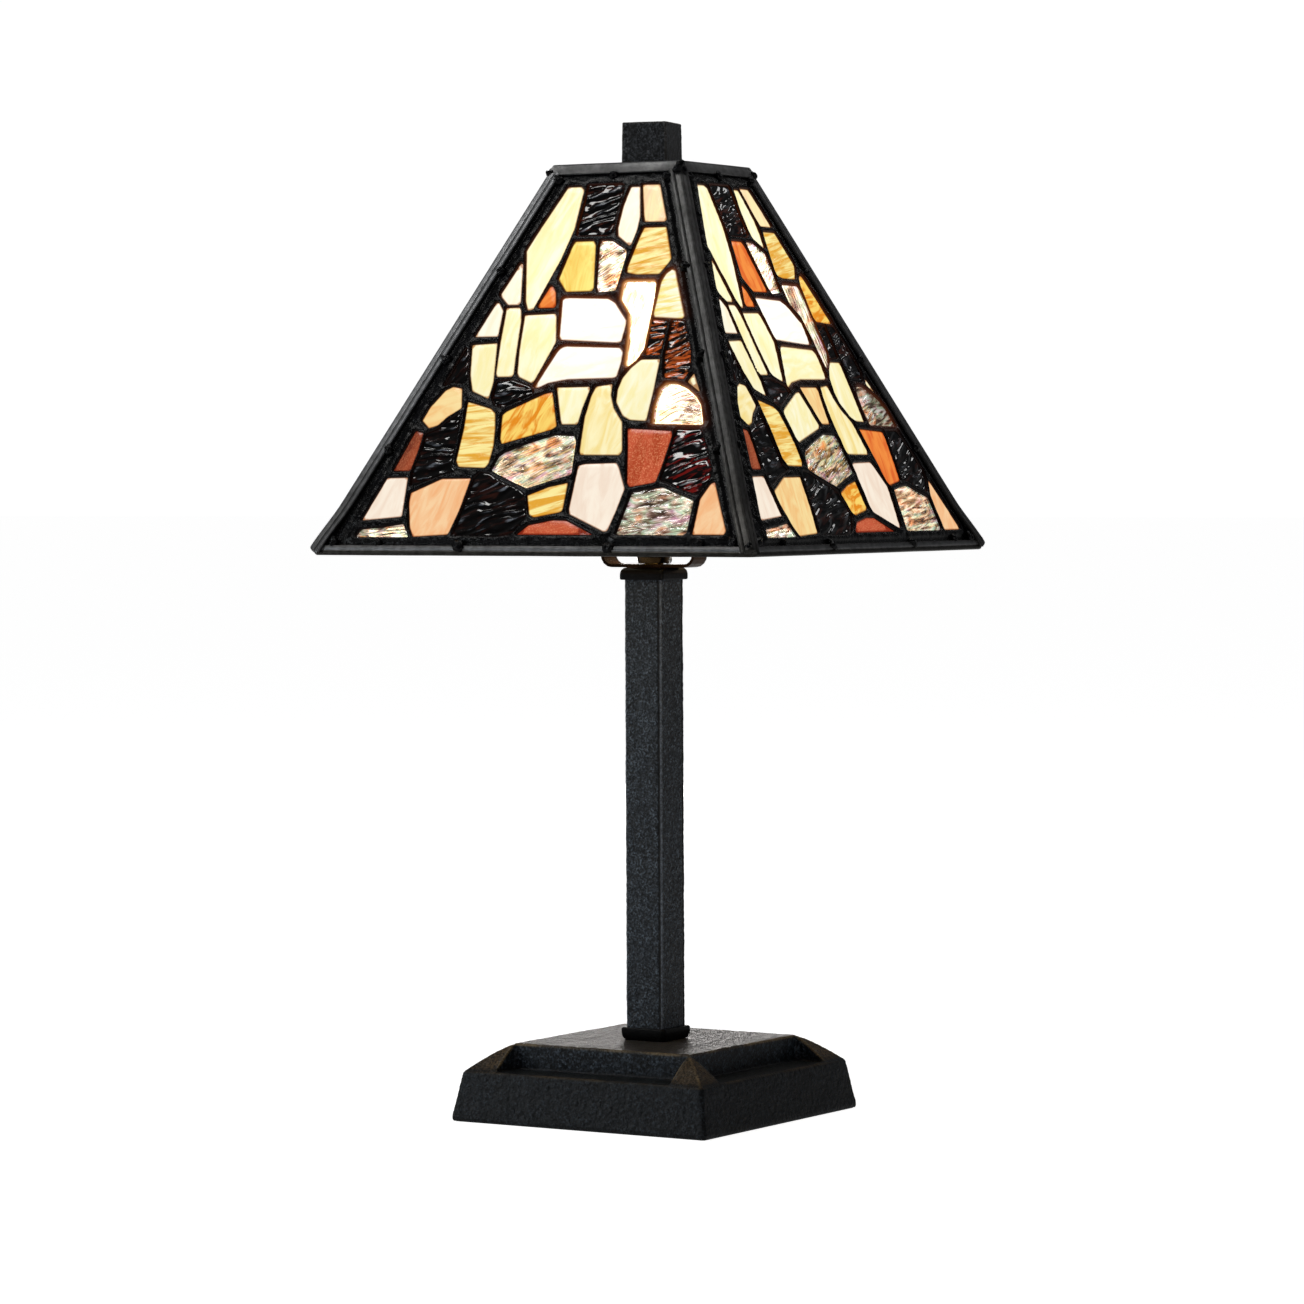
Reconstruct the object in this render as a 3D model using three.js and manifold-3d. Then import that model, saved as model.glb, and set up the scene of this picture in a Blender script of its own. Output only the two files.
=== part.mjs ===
// A table lamp of the arts-and-crafts kind: a stepped square base, a square stem, and a square
// pyramid shade of copper-foiled glass held by a harp over one bulb.
// Millimetres, +Z up. The origin is the middle of the underside. The front is -Y.
import * as THREE from "three";
import { mergeVertices } from "three/addons/utils/BufferGeometryUtils.js";
import Module from "manifold-3d";

const wasm = await Module();
wasm.setup();

// ---------------------------------------------------------------- driving dimensions
const GAP = 0.3; // clearance between pieces that touch
const ROUND = 20; // sides of a turned piece

const PAD_THICKNESS = 1.2;
const BASE = { foot: 151.4, ledge: 142.2, ledgeZ: 25.6, block: 105, topZ: 38.8, wall: 4, corner: 1.6 };
const STEM = { side: 21.9, wall: 1.4, corner: 0.9, bottomZ: 42.5, topZ: 278.6 };
const LOWER_COLLAR = { bottomZ: BASE.topZ, topZ: 45.4, side: 26.3, foot: 22.9 };
const UPPER_COLLAR = { bottomZ: 274.8, topZ: 281, side: 26 };
const PIPE = { radius: 5, bore: 3.8, bottomZ: 24, topZ: 288 };
const BUSHING = { bore: 4.2, body: 5.4, flange: 7.4, z: 12.5 };

const SADDLE = { width: 12.5, thickness: 1.6, bend: 5, shoulderZ: 290, tongueZ: 300, tongue: 4.4 };
const HARP = { halfFoot: 27.5, halfBelly: 46, bellyZ: 385, topZ: 478, wire: 2, straightZ: 319 };
const FERRULE = { bore: 2.7, radius: 4, bottomZ: 290.6, length: 14 };

const SOCKET = { capZ: 283, shellZ: 300, mouthZ: 345, radius: 16.8, switchZ: 308 };
const BULB = { tipZ: 320.2, collarZ: 346.5, globeZ: 398, globe: 30, neck: 12.6, glass: 0.8 };
const THREAD = { pitch: 3.62, depth: 0.8, crest: 12.9, startZ: 325, turns: 4 };

const SHADE = { halfFoot: 127, halfTop: 36.65, bottomZ: 289, topZ: 485.74, yaw: 2.3 };
const CAME = { sheet: 1.2, corner: 7.5, foot: 5.5, head: 5.8, depth: 6 };
const GLASS = { front: 1.5, groove: 3.5, back: 4.5 }; // depths below the shade's outer surface
const CAP_PLATE = { half: 29.6, thickness: 1.5, ventCircle: 19, vent: 3.5, vents: 8 };
const STUD = { thread: 3.15, neck: 2.3, seatZ: 483.9, topZ: 498.5 };
const FINIAL = { foot: 24.3, head: 23.7, bottomZ: 486.05, topZ: 507.5, bore: 5.3, yaw: 12 };

const rise = SHADE.topZ - SHADE.bottomZ;
const setback = SHADE.halfFoot - SHADE.halfTop;
const slant = Math.hypot(rise, setback);
const sine = rise / slant;
const cosine = setback / slant;
const narrowing = setback / rise; // how far a face comes in for each millimetre of height
const SHEET = { foot: 3.8, head: slant - 2.4, side: 5 }; // edges of a glass panel on its face

// ---------------------------------------------------------------- the mosaic
// One face of the shade, looked at from outside: x runs across from its middle line and y up the
// slope from its lower edge. Each line is the outline of one piece of glass.
const MOSAIC = [
  [[-102, 10.5], [-71.5, 10.5], [-76, 17.5], [-88, 15.5], [-100, 14.5]],
  [[-92, 42.8], [-101, 19.6], [-78, 21.6], [-80, 43]],
  [[-81.8, 68.7], [-89.4, 46.8], [-79.4, 46.8], [-77, 67.4]],
  [[-75, 67], [-75.5, 58], [-76.5, 38], [-60, 44.5], [-53, 46.5], [-56, 49], [-57, 66], [-58, 78]],
  [[-79.5, 74.5], [-74.5, 70.2], [-58, 81], [-60.5, 92], [-70, 91]],
  [[-55, 84.5], [-53.7, 52], [-51.5, 48.8], [-36.1, 48.2], [-34, 60], [-37.5, 78]],
  [[-76, 34.5], [-75.6, 29], [-68.6, 10.8], [-48.4, 12], [-42.7, 42.4], [-59.8, 42.2]],
  [[-40.5, 42.5], [-45.5, 11.5], [-12, 12], [-9, 16], [-5.5, 21.5], [-10, 34], [-38, 45.5]],
  [[-40.5, 95.5], [-41, 86.5], [-33.5, 81.2], [-18, 88.5], [-19.5, 91.8], [-32, 96]],
  [[-31.5, 46.5], [-9, 37], [14.8, 44.5], [11.5, 65], [0, 65.5], [-26, 56.5]],
  [[-33, 77], [-29.5, 61.2], [0, 70.5], [-7, 89.3]],
  [[-7.5, 33], [-4, 22.8], [14.5, 25], [14, 39.8]],
  [[-8.5, 12], [34.5, 12], [18, 19.5], [10, 19.7], [-3, 17]],
  [[17.8, 49], [18, 26], [40.5, 13.7], [47, 36.5], [39, 50.5]],
  [[52, 34.5], [48.2, 12.2], [85.5, 12], [87, 30], [68.5, 37]],
  [[90.5, 31], [90.5, 12.2], [108, 12.2], [96.5, 40]],
  [[41, 69], [47.7, 39.5], [63.5, 40], [67, 65], [66, 67.5]],
  [[69, 68], [66, 41], [88.5, 33.5], [93.5, 46], [82.5, 68]],
  [[55, 71.5], [83, 70.8], [79.5, 81], [63, 92.8], [55, 90]],
  [[69, 94], [77, 88.5], [71.5, 98.5]],
  [[-60.5, 116.2], [-54, 90.5], [-43.5, 86.2], [-46, 117]],
  [[-60, 120.7], [-46.5, 120.7], [-47, 135], [-52, 139.5]],
  [[-50.5, 144.5], [-45, 138.3], [-37.8, 139.5], [-43, 161.5]],
  [[-25.5, 204], [-38, 177], [-41.5, 168.5], [-32.5, 135], [-20, 163], [-16.2, 180], [-15.8, 202]],
  [[-13.5, 204.5], [-13, 176.2], [6.5, 177], [7.3, 198], [6.8, 204.5]],
  [[11.3, 203], [9.2, 180], [10.3, 175.5], [19, 170.3], [20.5, 186], [16.5, 203]],
  [[17.8, 204], [24, 183], [36.3, 183.5], [27.8, 203.8]],
  [[24.5, 179.7], [20.5, 154.8], [39, 153.5], [44, 162], [37, 179.7]],
  [[-14, 173], [-18.6, 152], [-12.5, 144.9], [3, 146.5], [-3.2, 173]],
  [[1.3, 173], [6.5, 144.3], [16, 145], [17, 167], [8, 172.5]],
  [[-22.5, 148], [-27, 137.5], [-17.3, 136.2], [-18.5, 144.5]],
  [[-13.5, 140.5], [-9, 118.2], [26, 116.5], [26.3, 128], [17.5, 138]],
  [[-8, 113.5], [-17.8, 92], [0, 96.3], [28, 97.5], [28.3, 111]],
  [[20.5, 148.5], [21, 140.5], [28.8, 131.5], [31, 120], [33, 102.7], [39.6, 112], [38.5, 147.5]],
  [[41.3, 149], [41, 131.5], [59, 129.5], [50.5, 149], [46, 156]],
  [[41, 128.3], [41.8, 109], [50, 109], [50, 127.5]],
  [[53, 127.5], [53, 108], [55.5, 96.5], [66.5, 95.5], [69, 101], [59.5, 127]],
  [[39.8, 106.5], [31.5, 96.5], [31, 84.5], [36.8, 77], [41.5, 73.7], [50.5, 73], [50.5, 106.5]],
  [[17.5, 92], [15, 75], [17.5, 55], [39.8, 54.7], [37, 72.5], [31.5, 79.5], [27.4, 86], [26.5, 93.3]],
  [[-5, 91.8], [2.8, 71.6], [11.8, 71.6], [13.8, 92]],
  [[-45.3, 136.5], [-42.5, 100], [-33, 98.2], [-33.2, 109], [-36.5, 135]],
  [[-33.5, 132.3], [-30, 100], [-20.5, 94.6], [-11.7, 117], [-16, 132.8]],
  [[-63, 114.5], [-71.5, 93.5], [-60.5, 94.8], [-60, 103]],
];

// ---------------------------------------------------------------- materials
const finish = (color, roughness, metalness) =>
  new THREE.MeshStandardMaterial({ color, roughness, metalness });
const HAMMERED = finish(0x23262a, 0.42, 0.85);
const CAME_METAL = finish(0x35363a, 0.38, 0.9);
const SOLDER = finish(0x1a1411, 0.25, 0.7);
const ART_GLASS = finish(0xf3d79a, 0.2, 0);
const BRONZE = finish(0x4a3726, 0.4, 0.9);
const BRASS = finish(0xb08d4a, 0.3, 1);
const STEEL = finish(0x9a9c9e, 0.35, 1);
const FELT = finish(0x16201a, 0.95, 0);
const PHENOLIC = finish(0x15130f, 0.5, 0);
const FIBRE = finish(0x6b5a45, 0.85, 0);
const CLEAR_GLASS = finish(0xf4f1ea, 0.15, 0);

// ---------------------------------------------------------------- shapes and booleans
const degrees = THREE.MathUtils.degToRad;

function solid(geometry) {
  const bare = geometry.clone();
  bare.deleteAttribute("normal");
  bare.deleteAttribute("uv");
  const merged = mergeVertices(bare, 1e-4);
  const vertProperties = merged.attributes.position.array;
  const triVerts = new Uint32Array(merged.index.array);
  return new wasm.Manifold(new wasm.Mesh({ numProp: 3, vertProperties, triVerts }));
}

function geometryOf(body) {
  const mesh = body.getMesh();
  const geometry = new THREE.BufferGeometry();
  geometry.setAttribute("position", new THREE.BufferAttribute(mesh.vertProperties.slice(), 3));
  geometry.setIndex(new THREE.BufferAttribute(mesh.triVerts.slice(), 1));
  geometry.computeVertexNormals();
  return geometry;
}

function cut(geometry, ...tools) {
  return geometryOf(tools.reduce((body, tool) => body.subtract(solid(tool)), solid(geometry)));
}

function join(geometry, ...others) {
  return geometryOf(others.reduce((body, other) => body.add(solid(other)), solid(geometry)));
}

function common(geometry, other) {
  return geometryOf(solid(geometry).intersect(solid(other)));
}

function block(width, depth, bottom, top) {
  return new THREE.BoxGeometry(width, depth, top - bottom).translate(0, 0, (bottom + top) / 2);
}

function rod(radius, bottom, top, sides = ROUND) {
  const geometry = new THREE.CylinderGeometry(radius, radius, top - bottom, sides);
  return geometry.rotateX(Math.PI / 2).translate(0, 0, (bottom + top) / 2);
}

// A turned piece: the profile holds [radius, z] and runs anticlockwise.
function turned(profile, sides = ROUND) {
  const points = profile.map(([radius, z]) => new THREE.Vector2(radius, z));
  return new THREE.LatheGeometry(points, sides).rotateX(Math.PI / 2);
}

function ring(bore, radius, bottom, top, sides = ROUND) {
  return turned([[bore, bottom], [radius, bottom], [radius, top], [bore, top], [bore, bottom]], sides);
}

function plate(outline, bottom, top, holes = []) {
  const shape = new THREE.Shape(outline.map(([x, y]) => new THREE.Vector2(x, y)));
  shape.holes = holes.map((hole) => new THREE.Path(hole.map(([x, y]) => new THREE.Vector2(x, y))));
  const depth = top - bottom;
  return new THREE.ExtrudeGeometry(shape, { depth, bevelEnabled: false }).translate(0, 0, bottom);
}

function circle(radius, x = 0, y = 0, sides = ROUND) {
  return Array.from({ length: sides }, (_, i) => {
    const angle = (i / sides) * 2 * Math.PI;
    return [x + radius * Math.cos(angle), y + radius * Math.sin(angle)];
  });
}

function roundedSquare(side, corner, steps = 3) {
  const centre = side / 2 - corner;
  const points = [];
  for (let quarter = 0; quarter < 4; quarter++) {
    for (let step = 0; step <= steps; step++) {
      const angle = ((quarter + step / steps) * Math.PI) / 2;
      const middle = ((quarter + 0.5) * Math.PI) / 2;
      const x = Math.sign(Math.cos(middle)) * centre + corner * Math.cos(angle);
      const y = Math.sign(Math.sin(middle)) * centre + corner * Math.sin(angle);
      points.push([x, y]);
    }
  }
  return points;
}

// Joins rings of as many points each, the first and last closed by flat caps.
function lofted(rings) {
  const count = rings[0].length;
  const flat = rings[0].map(([x, y, z]) => new THREE.Vector3(x, y, z));
  const normal = new THREE.Vector3();
  flat.forEach((p, i) => normal.add(p.clone().cross(flat[(i + 1) % count])));
  const turn = new THREE.Quaternion().setFromUnitVectors(normal.normalize(), new THREE.Vector3(0, 0, 1));
  const contour = flat.map((p) => p.applyQuaternion(turn)).map((p) => new THREE.Vector2(p.x, p.y));
  const caps = THREE.ShapeUtils.triangulateShape(contour, []);
  const index = [];
  caps.forEach(([a, b, c]) => index.push(a, c, b));
  const last = (rings.length - 1) * count;
  caps.forEach(([a, b, c]) => index.push(last + a, last + b, last + c));
  for (let level = 0; level < rings.length - 1; level++) {
    for (let i = 0; i < count; i++) {
      const a = level * count + i;
      const b = level * count + ((i + 1) % count);
      index.push(a, b, b + count, a, b + count, a + count);
    }
  }
  const geometry = new THREE.BufferGeometry();
  geometry.setAttribute("position", new THREE.Float32BufferAttribute(rings.flat(2), 3));
  geometry.setIndex(index);
  geometry.computeVertexNormals();
  return geometry;
}

// A square form whose side changes with height: levels hold [side, z].
function squareForm(levels, corner) {
  return lofted(levels.map(([side, z]) => roundedSquare(side, corner).map(([x, y]) => [x, y, z])));
}

function wireAlong(curve, radius, sides, steps) {
  const section = new THREE.Shape(circle(radius, 0, 0, sides).map(([x, y]) => new THREE.Vector2(x, y)));
  return new THREE.ExtrudeGeometry(section, { extrudePath: curve, steps, bevelEnabled: false });
}

function piece(parent, name, geometry, material) {
  const mesh = new THREE.Mesh(geometry, material);
  mesh.name = name;
  parent.add(mesh);
  return mesh;
}

const lamp = new THREE.Group();

// ---------------------------------------------------------------- base
const batter = (BASE.foot - BASE.ledge) / 2 / (BASE.ledgeZ - PAD_THICKNESS);

function baseOuter() {
  const soft = 0.9;
  const plinth = squareForm([
    [BASE.foot - soft, PAD_THICKNESS],
    [BASE.foot, PAD_THICKNESS + soft],
    [BASE.ledge + soft, BASE.ledgeZ - soft],
    [BASE.ledge - soft, BASE.ledgeZ],
  ], BASE.corner);
  const upper = squareForm([
    [BASE.block, BASE.ledgeZ - 2],
    [BASE.block, BASE.topZ - soft / 2],
    [BASE.block - soft, BASE.topZ],
  ], 0.5);
  return join(plinth, upper, ...cornerButtresses());
}

// A corner block under two slopes that meet in a hip and rise to the block's top corner, each
// a straight ramp with a little roundness in it.
function cornerButtresses() {
  const inner = BASE.block / 2 - 0.4;
  const outer = BASE.ledge / 2 - 0.6;
  const height = BASE.topZ - 0.3 - BASE.ledgeZ;
  const steps = 6;
  const roundness = 0.4;
  const profile = [[inner, BASE.ledgeZ - 2], [outer, BASE.ledgeZ - 2]];
  for (let i = 0; i <= steps; i++) {
    const along = 1 - i / steps;
    const straight = (1 - roundness) * (1 - along);
    const round = roundness * Math.cos((along * Math.PI) / 2);
    profile.push([inner + (outer - inner) * along, BASE.ledgeZ + height * (straight + round)]);
  }
  const across = plate(profile, -outer, -inner).rotateX(Math.PI / 2);
  const along = plate(profile, inner, outer).rotateX(Math.PI / 2).rotateZ(Math.PI / 2);
  const one = common(across, along);
  return [0, 1, 2, 3].map((quarter) => one.clone().rotateZ((quarter * Math.PI) / 2));
}

function bushingFrame() {
  const y = BASE.foot / 2 - batter * (BUSHING.z - PAD_THICKNESS);
  const matrix = new THREE.Matrix4().makeTranslation(0, y, BUSHING.z);
  return matrix.multiply(new THREE.Matrix4().makeRotationX(-Math.PI / 2 + Math.atan(batter)));
}

function makeBase(parent) {
  const { foot, ledge, block: side, ledgeZ, topZ, wall } = BASE;
  const hollow = squareForm([[foot - 2 * wall, -1], [ledge - 2 * wall, ledgeZ - wall]], BASE.corner);
  const well = squareForm([[side - 2 * wall, ledgeZ - 2 * wall], [side - 2 * wall, topZ - wall]], 1);
  const pipeHole = rod(PIPE.radius + GAP, topZ - 2 * wall, topZ + wall);
  const bushingHole = rod(BUSHING.body + GAP, -3 * wall, wall).applyMatrix4(bushingFrame());
  piece(parent, "base_casting", cut(baseOuter(), hollow, well, pipeHole, bushingHole), HAMMERED);

  const padRing = roundedSquare(foot - 2.5, BASE.corner);
  piece(parent, "felt_pad", plate(padRing, 0, PAD_THICKNESS), FELT);

  const { bore, body, flange } = BUSHING;
  const bushing = [
    [bore, -5], [body, -5], [body, GAP], [flange, GAP],
    [flange - 0.4, 2], [body, 2.6], [bore, 2.2], [bore, -5],
  ];
  piece(parent, "cord_bushing", turned(bushing, 16).applyMatrix4(bushingFrame()), PHENOLIC);

  piece(parent, "lamp_pipe", ring(PIPE.bore, PIPE.radius, PIPE.bottomZ, PIPE.topZ), BRASS);
  const washerTop = topZ - wall - GAP;
  const nutTop = washerTop - 1.2 - GAP;
  piece(parent, "base_lock_washer", ring(PIPE.radius + GAP, 10, washerTop - 1.2, washerTop), STEEL);
  const nutHole = circle(PIPE.radius + GAP);
  piece(parent, "base_nut", plate(circle(9.5, 0, 0, 6), nutTop - 4.5, nutTop, [nutHole]), STEEL);
}

// ---------------------------------------------------------------- stem
function makeStem(parent) {
  const seat = STEM.side + 2 * GAP;
  const bore = rod(PIPE.radius + GAP, 0, 300);

  const low = LOWER_COLLAR;
  const cup = squareForm([
    [low.foot, low.bottomZ],
    [low.foot + 1.8, low.bottomZ + 0.9],
    [low.side - 0.3, low.bottomZ + 2.6],
    [low.side, low.bottomZ + 4.2],
    [low.side, low.topZ - 0.5],
    [low.side - 1, low.topZ],
  ], 1.6);
  const lowSeat = squareForm([[seat, STEM.bottomZ - GAP], [seat, low.topZ + 1]], STEM.corner + GAP);
  piece(parent, "lower_collar", cut(cup, lowSeat, bore), HAMMERED);

  const tube = plate(
    roundedSquare(STEM.side, STEM.corner),
    STEM.bottomZ,
    STEM.topZ,
    [roundedSquare(STEM.side - 2 * STEM.wall, 0.4, 1)],
  );
  piece(parent, "stem_tube", tube, HAMMERED);

  const high = UPPER_COLLAR;
  const cap = squareForm([
    [high.side - 0.6, high.bottomZ],
    [high.side, high.bottomZ + 0.4],
    [high.side, high.bottomZ + 3.2],
    [high.side - 0.8, high.bottomZ + 4.8],
    [high.side - 2.8, high.topZ - 0.4],
    [high.side - 5.4, high.topZ],
  ], 1.6);
  const highSeat = squareForm([[seat, high.bottomZ - 1], [seat, STEM.topZ + GAP]], STEM.corner + GAP);
  piece(parent, "upper_collar", cut(cap, highSeat, bore), HAMMERED);
}

// ---------------------------------------------------------------- harp
function saddleGeometry() {
  const { width, thickness, bend, shoulderZ, tongueZ, tongue } = SADDLE;
  const bottom = UPPER_COLLAR.topZ;
  const inner = HARP.halfFoot - thickness / 2;
  const outer = HARP.halfFoot + thickness / 2;
  const half = [];
  for (let i = 0; i <= 4; i++) {
    const angle = (i / 4) * (Math.PI / 2);
    const radius = bend + thickness;
    half.push([outer - radius + radius * Math.sin(angle), bottom + radius - radius * Math.cos(angle)]);
  }
  half.push([outer, tongueZ], [inner, tongueZ]);
  for (let i = 4; i >= 0; i--) {
    const angle = (i / 4) * (Math.PI / 2);
    const z = bottom + thickness + bend - bend * Math.cos(angle);
    half.push([inner - bend + bend * Math.sin(angle), z]);
  }
  const mirrored = half.map(([x, z]) => [-x, z]).reverse();
  const strip = plate([...half, ...mirrored], -width / 2, width / 2).rotateX(Math.PI / 2);
  const trim = (width - tongue) / 2;
  const offset = tongue / 2 + trim / 2 + 1;
  const trims = [-1, 1].map((side) =>
    block(80, trim + 2, shoulderZ, tongueZ + 1).translate(0, side * offset, 0));
  return cut(strip, rod(PIPE.radius + GAP, bottom - 1, bottom + 3), ...trims);
}

function harpGeometry() {
  const { halfFoot, halfBelly, bellyZ, topZ, straightZ, wire } = HARP;
  const at = (x, z) => new THREE.Vector3(x, 0, z);
  const path = new THREE.CurvePath();
  const footZ = SADDLE.tongueZ + GAP;
  path.add(new THREE.LineCurve3(at(-halfFoot, footZ), at(-halfFoot, straightZ)));
  path.add(new THREE.CubicBezierCurve3(
    at(-halfFoot, straightZ), at(-halfFoot, 342), at(-halfBelly, 350), at(-halfBelly, bellyZ)));
  path.add(new THREE.CubicBezierCurve3(
    at(-halfBelly, bellyZ), at(-halfBelly, 432), at(-26, topZ), at(-8, topZ)));
  path.add(new THREE.LineCurve3(at(-8, topZ), at(8, topZ)));
  path.add(new THREE.CubicBezierCurve3(
    at(8, topZ), at(26, topZ), at(halfBelly, 432), at(halfBelly, bellyZ)));
  path.add(new THREE.CubicBezierCurve3(
    at(halfBelly, bellyZ), at(halfBelly, 350), at(halfFoot, 342), at(halfFoot, straightZ)));
  path.add(new THREE.LineCurve3(at(halfFoot, straightZ), at(halfFoot, footZ)));
  const loop = wireAlong(path, wire, 8, 52);
  const eye = rod(6.5, topZ - 2.2, topZ + 2.2, 16);
  return cut(join(loop, eye), rod(STUD.neck + GAP, topZ - 5, topZ + 5, 16));
}

function makeHarp(parent) {
  piece(parent, "harp_saddle", saddleGeometry(), BRONZE);
  piece(parent, "harp_wire", harpGeometry(), BRASS);
  for (const [name, side] of [["ferrule_left", -1], ["ferrule_right", 1]]) {
    const { bore, radius, bottomZ, length } = FERRULE;
    const sleeve = turned([
      [bore, bottomZ],
      [radius, bottomZ],
      [radius, bottomZ + 2],
      [radius - 0.5, bottomZ + 3],
      [radius - 0.5, bottomZ + length],
      [bore, bottomZ + length],
      [bore, bottomZ],
    ], 16);
    piece(parent, name, sleeve.translate(side * HARP.halfFoot, 0, 0), BRASS);
  }
}

// ---------------------------------------------------------------- socket and switch
function acrossY(geometry, z) {
  return geometry.rotateX(Math.PI / 2).translate(0, 0, z);
}

function acrossX(geometry, side, z) {
  return geometry.rotateY((side * Math.PI) / 2).translate(0, 0, z);
}

function threadProfile(offset) {
  const points = [];
  for (let i = 0; i <= 2 * THREAD.turns; i++) {
    const radius = THREAD.crest + offset - (i % 2 ? 0 : THREAD.depth);
    points.push([radius, THREAD.startZ + (i * THREAD.pitch) / 2]);
  }
  return points;
}

function makeSocket(parent) {
  const { capZ, shellZ, mouthZ, radius, switchZ } = SOCKET;
  const inside = radius + GAP;
  piece(parent, "socket_cap", turned([
    [PIPE.radius + GAP, capZ],
    [8, capZ],
    [8.6, capZ + 3.4],
    [13.5, capZ + 5.5],
    [17.2, capZ + 10],
    [18, capZ + 14],
    [18, capZ + 20],
    [inside, capZ + 20],
    [inside, capZ + 14.5],
    [16.2, capZ + 10.8],
    [12.8, capZ + 6.8],
    [PIPE.radius + GAP, capZ + 4.6],
    [PIPE.radius + GAP, capZ],
  ]), BRASS);

  const setScrew = join(rod(1.2, 5.6, 8.6, 10), rod(2.2, 9.2, 10.6, 12), rod(1.2, 8.2, 9.4, 10));
  piece(parent, "socket_set_screw", setScrew.rotateX(-Math.PI / 2).translate(0, 3.7, capZ + 1.7), STEEL);

  const shaftHole = acrossY(rod(3 + GAP, 10, 20, 16), switchZ);
  const shell = turned([
    [radius - 0.7, shellZ],
    [radius, shellZ],
    [radius, mouthZ - 1.5],
    [radius + 0.7, mouthZ - 0.7],
    [radius, mouthZ],
    [radius - 0.7, mouthZ],
    [radius - 0.7, shellZ],
  ]);
  piece(parent, "socket_shell", cut(shell, shaftHole), BRASS);
  const linerOuter = radius - 0.7 - GAP;
  const liner = ring(linerOuter - 0.6, linerOuter, shellZ + 1, mouthZ - 2);
  piece(parent, "socket_liner", cut(liner, shaftHole), FIBRE);

  const body = turned([
    [0, shellZ + 1],
    [11.5, shellZ + 1],
    [11.5, shellZ + 14],
    [14.4, shellZ + 15],
    [14.4, shellZ + 17.5],
    [0, shellZ + 17.5],
  ]);
  const screws = [-1, 1].map((side) => acrossX(rod(1.5 + GAP, 7, 12, 10), side, switchZ));
  const shaftBore = acrossY(rod(1.5 + GAP, 5, 12, 10), switchZ);
  piece(parent, "socket_body", cut(body, ...screws, shaftBore), PHENOLIC);
  for (const [name, side] of [["terminal_screw_neutral", -1], ["terminal_screw_live", 1]]) {
    const screw = join(rod(1.5, 7.5, 12.2, 10), rod(2.8, 11.9, 13.6, 12));
    piece(parent, name, acrossX(screw, side, switchZ), side > 0 ? BRASS : STEEL);
  }

  const tabZ = shellZ + 17.5 + GAP;
  const tab = [
    [-6, tabZ], [-2, tabZ], [0, tabZ + 1.4], [2, tabZ + 1.2],
    [2, tabZ + 1.8], [-0.4, tabZ + 2], [-2.4, tabZ + 0.6], [-6, tabZ + 0.6],
  ];
  piece(parent, "centre_contact", plate(tab, -2.5, 2.5).rotateX(Math.PI / 2), BRASS);
  const thread = threadProfile(0.5);
  const topThread = thread[thread.length - 1][1];
  piece(parent, "screw_shell", turned([
    [12.6, tabZ + 0.3],
    [14, tabZ + 0.3],
    [14, topThread + 2],
    [THREAD.crest + 0.5, topThread + 2],
    ...thread.reverse(),
    [12.6, tabZ + 0.3],
  ]), BRASS);

  const knobTurn = new THREE.Group();
  knobTurn.position.set(0, 0, switchZ);
  knobTurn.rotation.x = Math.PI / 2;
  parent.add(knobTurn);
  piece(knobTurn, "switch_shaft", rod(1.5, 5.4, 23, 10), BRASS);
  const grip = [];
  for (let i = 0; i < 24; i++) {
    const angle = (i / 24) * 2 * Math.PI;
    const reach = i % 2 ? 4.6 : 5.4;
    grip.push([reach * Math.cos(angle), reach * Math.sin(angle)]);
  }
  const knob = cut(plate(grip, 18.5, 30), rod(1.5 + GAP, 18, 23 + GAP, 10));
  piece(knobTurn, "switch_knob", knob, PHENOLIC);
}

// ---------------------------------------------------------------- bulb
function globeProfile(offset) {
  const radius = BULB.globe - offset;
  const lowest = -48;
  const lowX = radius * Math.cos(degrees(lowest));
  const lowZ = BULB.globeZ + radius * Math.sin(degrees(lowest));
  const neck = BULB.neck - offset;
  const points = [[neck, BULB.collarZ + GAP], [neck, BULB.collarZ + 8]];
  points.push([(neck + lowX) / 2 - 0.8, (BULB.collarZ + 8 + lowZ) / 2 + 2]);
  const steps = 9;
  for (let i = 0; i <= steps; i++) {
    const angle = degrees(lowest + ((90 - lowest) * i) / steps);
    points.push([i === steps ? 0 : radius * Math.cos(angle), BULB.globeZ + radius * Math.sin(angle)]);
  }
  return points;
}

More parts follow.
